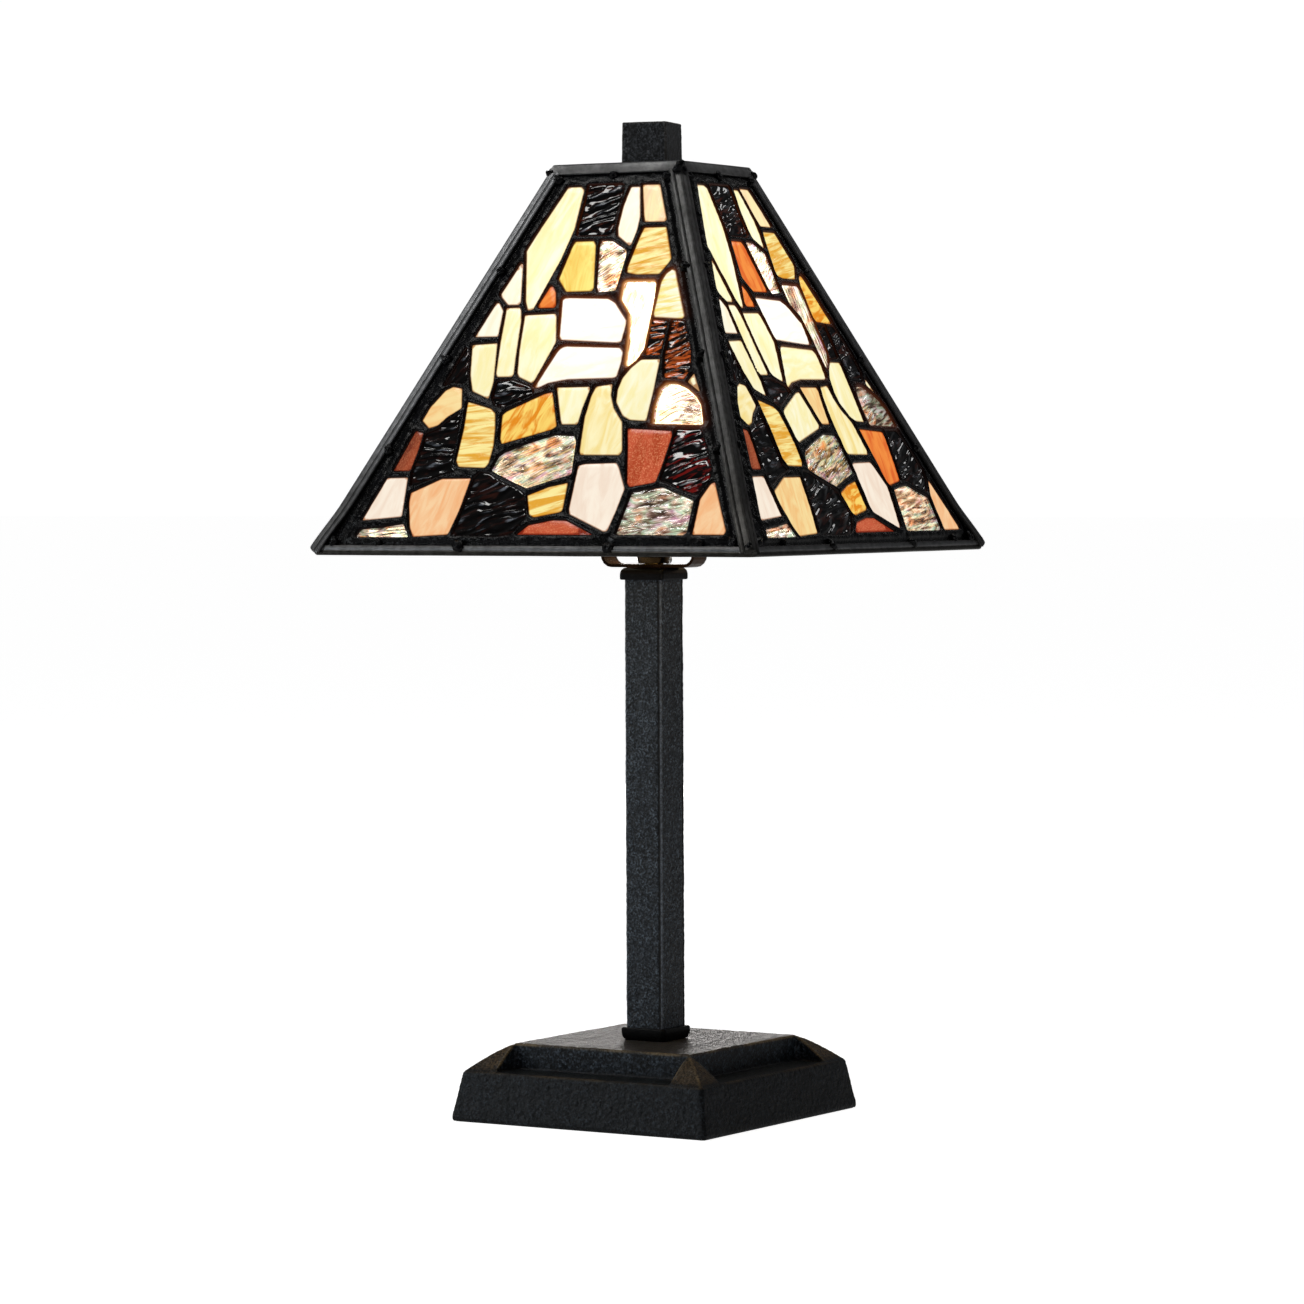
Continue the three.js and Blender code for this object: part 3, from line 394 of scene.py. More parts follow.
MOSAIC = [
    ((CL, CL, PE, CL), 10, [(-102, 10.5), (-100, 14.5), (-88, 15.5), (-76, 17.5), (-71.5, 10.5)]),
    ((OW, OW, PE, OW), 80, [(-92, 42.8), (-80, 43), (-78, 21.6), (-101, 19.6)]),
    ((RU, RU, RO, OR), 60, [(-81.8, 68.7), (-77, 67.4), (-77.7, 58), (-79.4, 46.8), (-89.4, 46.8)]),
    ((BL, BL, BL, BL), 8, [
        (-75, 67), (-69, 69.5), (-64.5, 73.5), (-58, 78), (-57, 66), (-56, 49),
        (-53, 46.5), (-60, 44.5), (-76.5, 38), (-78, 46), (-75.5, 58)]),
    ((AP, CW, PE, AM), 20, [
        (-79.5, 74.5), (-76.5, 82), (-70, 91), (-66, 93), (-60.5, 92), (-58, 81),
        (-65, 76.5), (-69.5, 71.8), (-74.5, 70.2)]),
    ((AS, AS, AM, AS), 4, [
        (-55, 84.5), (-49.3, 83), (-40.5, 80.5), (-37.5, 78), (-35.5, 70), (-34, 60),
        (-34.4, 50.5), (-36.1, 48.2), (-51.5, 48.8), (-53.7, 52), (-53.7, 70)]),
    ((PE, AP, OW, PE), 75, [
        (-76, 34.5), (-59.8, 42.2), (-42.7, 42.4), (-45.1, 25), (-48.4, 12), (-68.6, 10.8),
        (-71.7, 15.6), (-75.6, 29)]),
    ((BL, BL, BL, BL), 20, [
        (-40.5, 42.5), (-38, 45.5), (-32, 44.5), (-24, 40), (-14, 36.5), (-10, 34), (-8.5, 30),
        (-5.5, 21.5), (-9, 16), (-12, 12), (-20, 11), (-45.5, 11.5), (-43, 27)]),
    ((BL, BL, BL, BL), 0, [
        (-40.5, 95.5), (-32, 96), (-27, 94.5), (-19.5, 91.8), (-18, 88.5), (-27, 84.3),
        (-33.5, 81.2), (-38, 82), (-41, 86.5)]),
    ((CL, CB, CL, CB), 25, [
        (-31.5, 46.5), (-29, 54), (-26, 56.5), (-14, 61), (0, 65.5), (11.5, 65),
        (13.2, 62), (14.8, 44.5), (4, 41.2), (-9, 37), (-19, 41)]),
    ((AW, C, AW, AW), 70, [
        (-33, 77), (-31, 79), (-11, 88.5), (-7, 89.3), (0, 70.5), (-2, 69), (-29.5, 61.2), (-31, 64)]),
    ((AS, AW, AM, AW), 15, [
        (-7.5, 33), (3.5, 37.5), (14, 39.8), (14.5, 25), (13, 24), (-1, 21.3), (-4, 22.8)]),
    ((RO, RO, OR, RU), 5, [(-8.5, 12), (-3, 17), (10, 19.7), (18, 19.5), (34.5, 12)]),
    ((OW, OW, OW, PE), 85, [
        (17.8, 49), (21, 50), (39, 50.5), (41, 48), (47, 36.5), (45, 25), (42.5, 14),
        (40.5, 13.7), (19, 23), (18, 26)]),
    ((CL, CL, CL, CL), 10, [
        (52, 34.5), (60, 36), (68.5, 37), (87, 30), (87, 13), (85.5, 12), (48.2, 12.2), (50.5, 26)]),
    ((PE, PE, PE, AW), 70, [(90.5, 31), (94.5, 39), (96.5, 40), (108.5, 14), (108, 12.2), (90.5, 12.2)]),
    ((RO, OR, RU, OR), 80, [
        (41, 69), (50, 68.5), (66, 67.5), (67, 65), (65, 48), (63.5, 40), (49.5, 37.5),
        (47.7, 39.5), (43.5, 59)]),
    ((GA, BL, GA, BL), 25, [
        (69, 68), (82.5, 68), (88, 58), (93.5, 46), (93, 41), (88.5, 33.5), (78, 36.5),
        (70.5, 40), (66, 41), (67.5, 52)]),
    ((CL, CB, CL, CB), 15, [
        (55, 71.5), (54, 80), (55, 90), (58, 92.8), (63, 92.8), (70, 90), (76, 85.5),
        (79.5, 81), (83, 70.8)]),
    ((C, C, CP, C), 60, [(69, 94), (71.5, 98.5), (77, 88.5)]),
    ((C, C, C, CW), 85, [
        (-60.5, 116.2), (-46, 117), (-44.5, 107), (-42.8, 95), (-43.5, 86.2), (-54, 90.5), (-57.5, 99.5)]),
    ((CP, CP, C, CP), 80, [(-60, 120.7), (-52, 139.5), (-50.5, 139.5), (-47, 135), (-46.5, 120.7)]),
    ((CP, C, CP, CP), 75, [
        (-50.5, 144.5), (-43, 161.5), (-41.8, 161), (-37.8, 139.5), (-38.5, 138.3), (-45, 138.3),
        (-50, 143)]),
    ((C, C, C, CW), 75, [
        (-25.5, 204), (-18, 204), (-15.8, 202), (-16.2, 180), (-20, 163), (-29.5, 135.5),
        (-32.5, 135), (-35, 140), (-41.5, 168.5), (-38, 177), (-30, 194.5)]),
    ((BL, BL, BL, BL), 15, [
        (-13.5, 204.5), (6.8, 204.5), (7.3, 198), (6.5, 188), (6.5, 177), (3.5, 175.8),
        (-2, 176.2), (-13, 176.2), (-14, 181), (-13.2, 195)]),
    ((CP, C, CP, C), 85, [
        (11.3, 203), (16.5, 203), (20.5, 186), (20.5, 178), (19, 170.3), (18, 170),
        (10.3, 175.5), (9.2, 180), (9.4, 192)]),
    ((CK, CK, CK, C), 85, [(17.8, 204), (27.8, 203.8), (36.3, 183.5), (35.5, 182.8), (24, 183), (22.5, 187)]),
    ((AS, AS, AM, OR), 12, [
        (24.5, 179.7), (37, 179.7), (44, 162), (43.5, 160), (39, 153.5), (26, 153.6),
        (20.5, 154.8), (20, 157.5), (23, 174)]),
    ((AM, OR, AM, AW), 88, [
        (-14, 173), (-3.2, 173), (-1.5, 170.5), (3, 146.5), (2.5, 145), (-12.5, 144.9),
        (-18.6, 152), (-15, 170)]),
    ((CL, CL, CK, CL), 30, [
        (1.3, 173), (8, 172.5), (17, 167), (17.5, 164), (16, 145), (6.5, 144.3), (5, 147), (1.2, 170)]),
    ((OR, OR, RO, RU), 45, [
        (-22.5, 148), (-21, 148), (-18.5, 144.5), (-16.7, 137), (-17.3, 136.2), (-26.3, 136.2),
        (-27, 137.5)]),
    ((ML, ML, ML, ML), 5, [
        (-13.5, 140.5), (-12, 141.5), (13, 140.5), (17.5, 138), (26.3, 128), (26.5, 125),
        (26, 116.5), (24.5, 116), (-9, 118.2), (-10.3, 120)]),
    ((ML, C, CP, ML), 5, [
        (-8, 113.5), (-5.5, 114.5), (26, 113.2), (28.3, 111), (28.7, 105), (28, 97.5),
        (26.5, 96.7), (0, 96.3), (-10.5, 94.5), (-15.5, 92), (-17.8, 92), (-17, 94.5), (-9.5, 111.5)]),
    ((CL, CL, CS, CL), 85, [
        (20.5, 148.5), (22, 149.5), (37.5, 149.3), (38.7, 147.5), (39.5, 137), (40, 112),
        (37, 106), (33, 102.7), (32, 104), (30, 121), (27.5, 132), (21, 139.7)]),
    ((CS, AW, CS, AS), 12, [
        (41.3, 149), (43, 153.5), (46, 156), (48, 155), (50.5, 149), (59, 129.5),
        (58, 128.5), (42, 129.7), (41, 131.5)]),
    ((BR, BL, BR, BL), 10, [(41, 128.3), (50, 127.5), (50, 109), (41.8, 109)]),
    ((BR, BL, BR, BL), 15, [
        (53, 127.5), (59.5, 127), (66.5, 112), (69, 101), (66.5, 95.5), (55.5, 96.5), (53, 108)]),
    ((C, C, C, CP), 80, [
        (39.8, 106.5), (50.5, 106.5), (50.8, 90), (50.5, 73), (41, 73.7), (36.5, 76),
        (31, 83.5), (30.3, 90), (31.5, 96.5), (35, 102)]),
    ((CW, CW, PE, C), 80, [
        (17.5, 92), (26.5, 93.3), (27.2, 87), (30.5, 80), (37, 72.5), (40.7, 57),
        (39.8, 54.7), (17.5, 55), (16.5, 57), (15, 75), (16, 87)]),
    ((C, AP, C, CP), 85, [
        (-5, 91.8), (13.8, 92), (14.3, 90), (12.5, 80), (11.8, 71.6), (2.8, 71.6), (1.5, 74)]),
    ((C, C, CP, C), 82, [
        (-45.3, 136.5), (-37.8, 136.7), (-36.5, 135), (-35, 129), (-33.2, 109), (-32, 99),
        (-33, 98.2), (-41.3, 98.2), (-42.5, 100), (-44.2, 117)]),
    ((C, C, C, CP), 82, [
        (-33.5, 132.3), (-16, 132.8), (-15, 131.5), (-11.7, 117), (-13.5, 111.5), (-19.2, 95.3),
        (-20.5, 94.6), (-28.5, 98), (-30, 100), (-32, 113)]),
    ((BL, BL, BL, BL), 60, [
        (-63, 114.5), (-61.5, 112), (-60, 103), (-58.7, 97.5), (-60.5, 94.8), (-66, 95.5), (-71.5, 93.5)]),
]


def anticlockwise(outline):
    points = np.array(outline, float)
    following = np.roll(points, -1, axis=0)
    area = np.sum(points[:, 0] * following[:, 1] - following[:, 0] * points[:, 1])
    return points if area > 0 else points[::-1]


def grown(points, distance):
    """Moves each side of an anticlockwise outline outwards."""
    along = np.roll(points, -1, axis=0) - points
    along /= np.linalg.norm(along, axis=1)[:, None]
    normals = np.stack([along[:, 1], -along[:, 0]], axis=1)
    before = np.roll(normals, 1, axis=0)
    scale = distance / np.maximum(0.4, 1 + np.sum(before * normals, axis=1))
    return points + (before + normals) * scale[:, None]


def softened(points, radius, step):
    """Rounds an outline's corners and adds points so that none are further apart than a step."""
    loop = []
    for before, corner, after in zip(np.roll(points, 1, axis=0), points, np.roll(points, -1, axis=0)):
        back, ahead = before - corner, after - corner
        start = corner + back * min(radius / np.linalg.norm(back), 0.42)
        end = corner + ahead * min(radius / np.linalg.norm(ahead), 0.42)
        for t in (0, 0.35, 0.65, 1):
            loop.append((1 - t) ** 2 * start + 2 * t * (1 - t) * corner + t * t * end)
    dense = []
    for here, there in zip(loop, loop[1:] + loop[:1]):
        count = max(1, math.ceil(np.linalg.norm(there - here) / step))
        dense += [here + (there - here) * i / count for i in range(count)]
    return np.array(dense)


def inside(points, loop):
    """Which points lie inside a closed loop."""
    found = np.zeros(len(points), bool)
    for (ax, ay), (bx, by) in zip(loop, np.roll(loop, -1, axis=0)):
        crosses = (ay > points[:, 1]) != (by > points[:, 1])
        if ay != by:
            found ^= crosses & (points[:, 0] < (bx - ax) * (points[:, 1] - ay) / (by - ay) + ax)
    return found


def edge_distance(points, loops):
    """Each point's distance to the nearest side of the closed loops."""
    starts = np.concatenate(loops)
    spans = np.concatenate([np.roll(loop, -1, axis=0) for loop in loops]) - starts
    lengths = np.maximum(np.sum(spans**2, axis=1), 1e-12)
    best = np.empty(len(points))
    for chunk in np.array_split(np.arange(len(points)), max(1, len(points) // 400)):
        offset = points[chunk, None, :] - starts[None]
        share = np.clip(np.sum(offset * spans[None], axis=2) / lengths, 0, 1)
        gap = offset - share[:, :, None] * spans[None]
        best[chunk] = np.sqrt(np.min(np.sum(gap**2, axis=2), axis=1))
    return best


def grid_inside(loop, step):
    """Points of a triangular grid that lie inside a loop."""
    low, high = loop.min(axis=0), loop.max(axis=0)
    points = []
    for number, y in enumerate(np.arange(low[1] + step / 2, high[1], step * ROW_SHARE)):
        shift = step / 2 if number % 2 else 0
        points += [(x, y) for x in np.arange(low[0] + shift, high[0], step)]
    points = np.array(points)
    return points[inside(points, loop)] if len(points) else points.reshape(0, 2)


def triangulated(loops, extra):
    """Triangles over closed loops and loose points, as (points, triangles), all facing up."""
    points = np.concatenate(loops + ([extra] if len(extra) else []))
    edges = []
    start = 0
    for loop in loops:
        count = len(loop)
        edges += [(start + i, start + (i + 1) % count) for i in range(count)]
        start += count
    vectors = [Vector(p) for p in points]
    made = delaunay_2d_cdt(vectors, edges, [], 0, 1e-5)
    points = np.array([tuple(v) for v in made[0]])
    triangles = np.array(made[2])
    a, b, c = points[triangles[:, 0]], points[triangles[:, 1]], points[triangles[:, 2]]
    area = (b[:, 0] - a[:, 0]) * (c[:, 1] - a[:, 1]) - (c[:, 0] - a[:, 0]) * (b[:, 1] - a[:, 1])
    triangles[area < 0] = triangles[area < 0][:, ::-1]
    return points, triangles[np.abs(area) > 1e-7]


def slab(points, triangles, upper, lower):
    """A closed body over flat triangles: two skins with their own heights, and walls round every edge."""
    count = len(points)
    top = np.column_stack([points, upper])
    bottom = np.column_stack([points, lower])
    faces = [tuple(t) for t in triangles] + [tuple(t[::-1] + count) for t in triangles]
    sides = {}
    for a, b, c in triangles:
        for pair in ((a, b), (b, c), (c, a)):
            sides[pair] = True
    for a, b in sides:
        if (b, a) not in sides:
            faces += [(b, a, a + count, b + count)]
    return np.concatenate([top, bottom]), faces


# The pitch and height of each glass's ripples, in mm.
RIPPLED = {
    BL: (4.8, 0.30), GA: (4.4, 0.30), CL: (3.0, 0.17), CB: (3.0, 0.17), BR: (4.2, 0.30), AS: (3.6, 0.12),
    CS: (3.8, 0.10), AW: (5.0, 0.06), ML: (9.0, 0.03),
}
PLAIN = (12.0, 0.03)


def grain_frame(points, grain, seed):
    """Points along and across a piece's grain, shifted by a seed of its own."""
    angle = math.radians(grain)
    along = points @ np.array([math.cos(angle), math.sin(angle)])
    across = points @ np.array([-math.sin(angle), math.cos(angle)])
    return np.column_stack([along + 37.0 * seed, across + 23.0 * seed])


def ripples(flow, pitch, seed):
    """Long wandering ridges along the grain, between about -1 and 1."""
    wander = 0.5 * drift(flow / (2.6, 1.0), 11.0, seed) + 0.1 * drift(flow / (2.0, 1.0), 5.0, seed + 1)
    ridge = np.sin(2 * math.pi * (flow[:, 1] / pitch + wander))
    swell = 0.66 + 0.34 * drift(flow / (1.8, 1.0), 7.0, seed + 2)
    return ridge * swell + 0.12 * drift(flow / (1.6, 1.0), 0.7 * pitch, seed + 3)


def mesh_step(height):
    """How far apart a piece's points lie, in mm: closer where its ripples are higher."""
    if height > 0.15:
        return 0.7
    return 1.1 if height > 0.09 else 2.2


@lru_cache(maxsize=None)
def glass_shape(number, glass):
    """One piece of glass in its face's frame: vertices, faces, grain, distance from its edge, ripples."""
    _, grain, outline = MOSAIC[number]
    pitch, height = RIPPLED.get(glass, PLAIN)
    step = mesh_step(height)
    loop = softened(grown(anticlockwise(outline), GLASS_LAP), 0.9, min(step, 1.2))
    extra = grid_inside(loop, step)
    if len(extra):
        extra = extra[edge_distance(extra, [loop]) > 0.45 * step]
    points, triangles = triangulated([loop], extra)
    centres = points[triangles].mean(axis=1)
    triangles = triangles[inside(centres, loop)]
    edge = edge_distance(points, [loop])
    flow = grain_frame(points, grain, number)
    fall = 0.35 * (1 - np.minimum(edge / 1.2, 1)) ** 2
    relief = height * ripples(flow, pitch, 11 * number + len(glass)) * smoothstep(edge, 0.2, 2.2)
    upper = GLASS_TOP - fall + relief
    lower = np.full(len(points), GLASS_TOP - GLASS_THICKNESS) + 0.5 * fall
    vertices, faces = slab(points, triangles, upper, lower)
    crest = relief / height
    return vertices, faces, np.tile(flow, (2, 1)), np.tile(edge, 2), np.tile(crest, 2)


def lit(points):
    """How strongly the bulb shines on points in mm: 1 at the nearest glass, 0 far away."""
    distance = np.linalg.norm(points - np.array([0.0, 0.0, BULB_Z]), axis=1)
    return np.minimum(NEAREST_GLASS / distance, 1.0) ** FALL_OFF


def make_glass(shaders):
    for quarter, side in enumerate(SIDES):
        groups = {}
        for number, (glasses, _, _) in enumerate(MOSAIC):
            groups.setdefault(glasses[quarter], []).append(number)
        for glass, numbers in groups.items():
            shapes = [glass_shape(number, glass) for number in numbers]
            vertices, faces = joined([shape[:2] for shape in shapes])
            flow, rim, crest = (np.concatenate([shape[i] for shape in shapes]) for i in (2, 3, 4))
            counts = [len(shape[0]) for shape in shapes]
            own = np.repeat([7.0 * number + 3.1 * quarter for number in numbers], counts)
            points = moved(vertices, face_matrix(quarter))
            piece = new_piece(
                f"{side}_{glass}_glass", points, faces, shaders[glass], "shade", "art_glass",
                [f"panel_{side}_glass"], flow=np.column_stack([flow, own]), rim=rim, crest=crest,
                lit=lit(points / MM))
            sharpened(piece, 70)


# ------------------------------------------------------------------ solder
BEAD_HEIGHT = 1.0
BEAD_REACH = 1.5
LATTICE_STEP = 0.72
# How much of the painted glow on the foil each face shows.
HALO_SHARE = {"front": 1.0, "right": 0.3, "back": 1.0, "left": 0.3}
# How much painted glow the brightest pieces, by number, cast on the foil beside them.
HOTTEST = {33: 1.0, 18: 0.75, 34: 0.4, 31: 0.35, 32: 0.35}
FAR_FROM_GLASS = 5.0


def sheet_outline():
    """The outline of one face's lattice, whose border lies under the cames."""
    def half(y):
        return FOOT_HALF - COSINE * y - SHEET_SIDE
    foot, head = SHEET_FOOT, SHEET_HEAD
    return np.array([(-half(foot), foot), (half(foot), foot), (half(head), head), (-half(head), head)])


def bead(edge, height, reach):
    """A round shoulder that rises from the edge of the foil to its height."""
    share = 1 - np.minimum(edge / reach, 1)
    return height * np.sqrt(np.maximum(0, 1 - share**2))


@lru_cache(maxsize=None)
def lattice_shape():
    """The soldered foil between the pieces of one face, domed outside and flatter inside."""
    holes = [softened(anticlockwise(outline), 0.8, 0.7) for _, _, outline in MOSAIC]
    border = softened(sheet_outline(), 0.3, 1.5)
    extra = grid_inside(border, LATTICE_STEP)
    free = np.ones(len(extra), bool)
    for hole in holes:
        free &= ~inside(extra, hole)
    extra = extra[free]
    extra = extra[edge_distance(extra, holes + [border]) > 0.3]
    points, triangles = triangulated([border] + holes, extra)
    centres = points[triangles].mean(axis=1)
    keep = inside(centres, border)
    for hole in holes:
        keep &= ~inside(centres, hole)
    triangles = triangles[keep]
    edge = edge_distance(points, holes)
    wrinkle = 0.09 * drift(points, 4.2, 5) + 0.06 * np.abs(drift(points, 2.3, 6))
    wrinkle += 0.12 * drift(points, 11.0, 7)
    settle = smoothstep(edge, 0.0, 1.6)
    cover = smoothstep(edge_distance(points, [border]), 3.4, 5.2)
    height = BEAD_HEIGHT * (0.35 + 0.65 * (1 - smoothstep(edge, 2.6, 6.0)))
    upper = GLASS_TOP - 0.12 + (bead(edge, 1.0, BEAD_REACH) * height + wrinkle * settle) * cover
    lower = GLASS_TOP - GLASS_THICKNESS + 0.1 - bead(edge, 0.6, BEAD_REACH)
    halo = np.zeros(len(points))
    for number, share in HOTTEST.items():
        halo = np.maximum(halo, share * np.exp(-edge_distance(points, [holes[number]]) / 1.3))
    vertices, faces = slab(points, triangles, upper, lower)
    return vertices, faces, np.tile(edge, 2), np.tile(halo, 2)


# Joints where solder was dabbed between the cames and the lattice: (x, y, size) on a face.
TACKS = [(-40, 4.8, 5.2), (46, 4.8, 4.6), (0, SLANT - 7.0, 3.8), (96, 7, 3.0), (-88, 6.8, 2.8)]
TACKS += [(side * (FOOT_HALF - COSINE * y - 8.2), y, 4.2) for y in (58, 108, 157) for side in (-1, 1)]
TACKS += [(side * (FOOT_HALF - COSINE * 8 - 9.5), 8, 4.4) for side in (-1, 1)]
TACKS += [(side * (FOOT_HALF - COSINE * (SLANT - 9) - 8.5), SLANT - 9, 4.0) for side in (-1, 1)]

TACK_LIFT = 0.9
TIP_SEED = 60

# Lumps that join the cames at the corners of the shade: (distance from the axis, z, a size for each corner).
TIPS = [
    (FOOT_HALF - 2.8, FOOT_Z + 4.4, (4.0, 3.6, 3.8, 3.4)),
    (HEAD_HALF + 1.0, HEAD_Z - 4.4, (5.6, 3.6, 4.2, 3.6)),
]


def blob(centre, size, seed, squash=0.42):
    """A lump of solder: a low rough dome about a point of a face."""
    rings, sides = 9, 18
    vertices, faces = [], []
    for ring in range(rings + 1):
        polar = math.pi * ring / rings
        for i in range(sides):
            turn = 2 * math.pi * i / sides
            out = math.sin(polar)
            vertices.append((out * math.cos(turn), out * math.sin(turn), math.cos(polar)))
    for ring in range(rings):
        for i in range(sides):
            j = (i + 1) % sides
            low, high = ring * sides, (ring + 1) * sides
            faces.append((low + i, high + i, high + j, low + j))
    points = np.array(vertices)
    swell = 1 + 0.28 * drift(points, 1.3, seed) + 0.14 * drift(points, 0.6, seed + 50)
    points = points * swell[:, None] * (size * 0.62, size * 0.62, size * squash)
    return points + np.array(centre), faces


def make_lumps(name, lumps, matrix, shader, share):
    """One piece of several lumps, which glow with a painted share of the bulb's light."""
    vertices, faces = joined(lumps)
    points = moved(vertices, matrix)
    count = len(points)
    weld(new_piece(
        name, points, faces, shader, "shade", "solder", lit=lit(points / MM) * share,
        rim=np.full(count, FAR_FROM_GLASS), halo=np.zeros(count)))


def make_solder(shader):
    shape, faces, edge, halo = lattice_shape()
    for quarter, side in enumerate(SIDES):
        matrix = face_matrix(quarter)
        points = moved(shape, matrix)
        piece = new_piece(
            f"{side}_solder_lattice", points, faces, shader, "shade", "solder",
            [f"panel_{side}_solder"], lit=lit(points / MM), rim=edge, halo=halo * HALO_SHARE[side])
        sharpened(piece, 60)
        seed = 100 * quarter
        tacks = [
            blob((x, y, GLASS_TOP + TACK_LIFT), size, seed + number)
            for number, (x, y, size) in enumerate(TACKS)]
        make_lumps(f"{side}_solder_tacks", tacks, matrix, shader, 1.0)
        tips = [
            blob((reach, -reach, z), sizes[quarter], seed + TIP_SEED + number, squash=0.62)
            for number, (reach, z, sizes) in enumerate(TIPS)]
        make_lumps(f"{side}_corner_solder", tips, Matrix.Scale(MM, 4) @ side_matrix(quarter), shader, 0.0)


# ------------------------------------------------------------------ cames
CAME_SHEET = 1.2
CORNER_FLANGE = 6.7
HIP_BLUNT = 0.33
BLUNT_HEIGHT = 3.8
BLUNT_SLOPE = 0.68
FLARE = 1.4
# How much painted sheen each came gets, by kind and by side: a lighter grey that stands in for the light it
# catches.
PAINTED_SHEEN = {"foot": 0.9, "head": 0.4, "corner": 0.24, ("corner", "left"): 0.95, ("corner", "right"): 0.5}


def on_face(y, depth):
    """A point of a face, y up its slope and depth below its surface, as (distance from the axis, z)."""
    return FOOT_HALF - COSINE * y - SINE * depth, FOOT_Z + SINE * y - COSINE * depth


def strip(rings):
    """Quads between rings of as many points each, with the ends closed."""
    count = len(rings[0])
    faces = []
    for start in range(0, (len(rings) - 1) * count, count):
        for i in range(count):
            a, b = start + i, start + (i + 1) % count
            faces.append((a, b, b + count, a + count))
    last = (len(rings) - 1) * count
    faces.append(tuple(range(count))[::-1])
    faces.append(tuple(last + i for i in range(count)))
    return np.concatenate(rings), faces


def rim_rings(section, steps):
    """A rim came along one face: its section holds (y, depth), and its ends are mitred."""
    ends = [1 - gap / FOOT_HALF for gap in (1.2, 2.4, 3.8)]
    shares = sorted([2 * i / steps - 1 for i in range(steps + 1)] + ends + [-end for end in ends])
    rings = []
    for share in shares:
        ring = []
        for y, depth in section:
            reach, z = on_face(y, depth)
            ring.append((share * (reach - 0.05), -reach, z))
        rings.append(np.array(ring))
    return rings


def foot_section():
    """A rolled channel: a flat band, a crease, then the rounded foot."""
    band = [(5.5, 0.35), (5.2, 0.05), (4.0, -0.05), (2.9, 0.0), (2.6, 0.22)]
    nose = [(2.2, 0.1), (1.3, 0.12), (0.6, 0.5), (0.42, 1.1), (0.7, 2.2), (1.6, 4.2), (2.45, 5.5)]
    inner = [(3.2, 6.0), (6.6, 6.0), (7.0, 5.7), (7.0, 4.9), (3.5, 4.8), (3.5, 1.3), (5.5, 1.2)]
    return band + nose + inner


def head_section():
    """A rolled channel like the foot's, with its crown turned up and in."""
    top = SLANT
    outer = [(top - 5.8, 1.2), (top - 5.8, 0.35), (top - 5.5, 0.05), (top - 3.2, -0.05), (top - 1.0, 0.0)]
    crown = [(top - 0.3, 0.15), (top + 0.15, 0.6), (top + 0.9, 2.2), (top + 2.3, 5.2), (top + 2.4, 5.8)]
    inner = [(top + 1.8, 6.0), (top - 6.6, 6.0), (top - 7.0, 5.7), (top - 7.0, 4.9)]
    return (outer + crown + inner + [(top - 2.1, 4.8), (top - 2.1, 1.3)])[::-1]


def corner_section():
    """Half of a corner angle's section, from its hip to the edge of one flange: (along, in) in mm."""
    across = CORNER_FLANGE / math.cos(math.atan(COSINE))
    sheet = CAME_SHEET / SINE
    return [
        (0.0, 0.45), (0.35, 0.18), (0.8, 0.0), (1.5, -0.1), (3.6, -0.15), (4.1, 0.25), (4.5, -0.1),
        (across - 0.7, -0.15), (across - 0.15, 0.05), (across, 0.5), (across - 0.1, sheet), (sheet, sheet),
    ]


def corner_rings(steps=60):
    """A corner angle over one hip, flared and drawn more closely near its foot."""
    half = corner_section()
    bottom = FOOT_Z + 1.2
    top = on_face(SLANT - 5.8, CAME_SHEET)[1] + 1.6
    heights = [bottom + lift for lift in (0, 1.0, 2.0, 2.8, 3.6, 4.8)]
    heights += [bottom + (top - bottom) * i / steps for i in range(2, steps + 1)]
    rings = []
    for z in heights:
        reach = FOOT_HALF - NARROWING * (z - FOOT_Z) + FLARE * (1 - smoothstep(z - FOOT_Z, 4.0, 26.0))
        front = [(reach - along, depth - reach, z) for along, depth in half]
        side = [(reach - depth, along - reach, z) for along, depth in half]
        hip = [(reach - HIP_BLUNT, HIP_BLUNT - reach, z)]
        rings.append(np.array(hip + side[1:] + front[1:-1][::-1]))
    return rings


def blunted(points):
    """Cuts back the lowest point of each corner of the shade."""
    rise = np.minimum(points[:, 2] - FOOT_Z, BLUNT_HEIGHT)
    nose = 2 * (FOOT_HALF - NARROWING * BLUNT_HEIGHT + FLARE)
    limit = nose - 2 * BLUNT_SLOPE * (BLUNT_HEIGHT - rise)
    over = np.abs(points[:, 0]) + np.abs(points[:, 1]) - limit
    over = np.where(points[:, 2] < FOOT_Z + BLUNT_HEIGHT, np.maximum(over, 0), 0)
    return points - np.sign(points) * over[:, None] * (0.5, 0.5, 0.0)


def make_cames(shader):
    foot = strip(rim_rings(foot_section(), 40))
    head = strip(rim_rings(head_section(), 16))
    corner = strip(corner_rings())
    for quarter, side in enumerate(SIDES):
        matrix = Matrix.Scale(MM, 4) @ side_matrix(quarter)
        for kind, (vertices, faces) in (("foot", foot), ("head", head), ("corner", corner)):
            wobble = 0.05 * drift(vertices, 26.0, 40 + quarter)
            points = blunted(vertices + wobble[:, None] * (0.6, 0.6, 0.5))
            polish = np.full(len(points), PAINTED_SHEEN.get((kind, side), PAINTED_SHEEN[kind]))
            # On the foot the painted sheen is a band a little above its lowest edge, fading upwards; on the
            # corners it fades towards the foot.
            if kind == "foot":
                height = vertices[:, 2] - FOOT_Z
                polish *= smoothstep(height, 2.1, 2.6) * (1 - 0.85 * smoothstep(height, 2.7, 4.9))
            if kind == "corner":
                polish *= 0.4 + 0.6 * smoothstep(vertices[:, 2] - FOOT_Z, 20.0, 75.0)
            piece = new_piece(
                f"{side}_{kind}_came", moved(points, matrix), faces, shader, "shade", "came_metal",
                [f"{kind}_came_{side}"], polish=polish)
            sharpened(oriented(piece), 40)


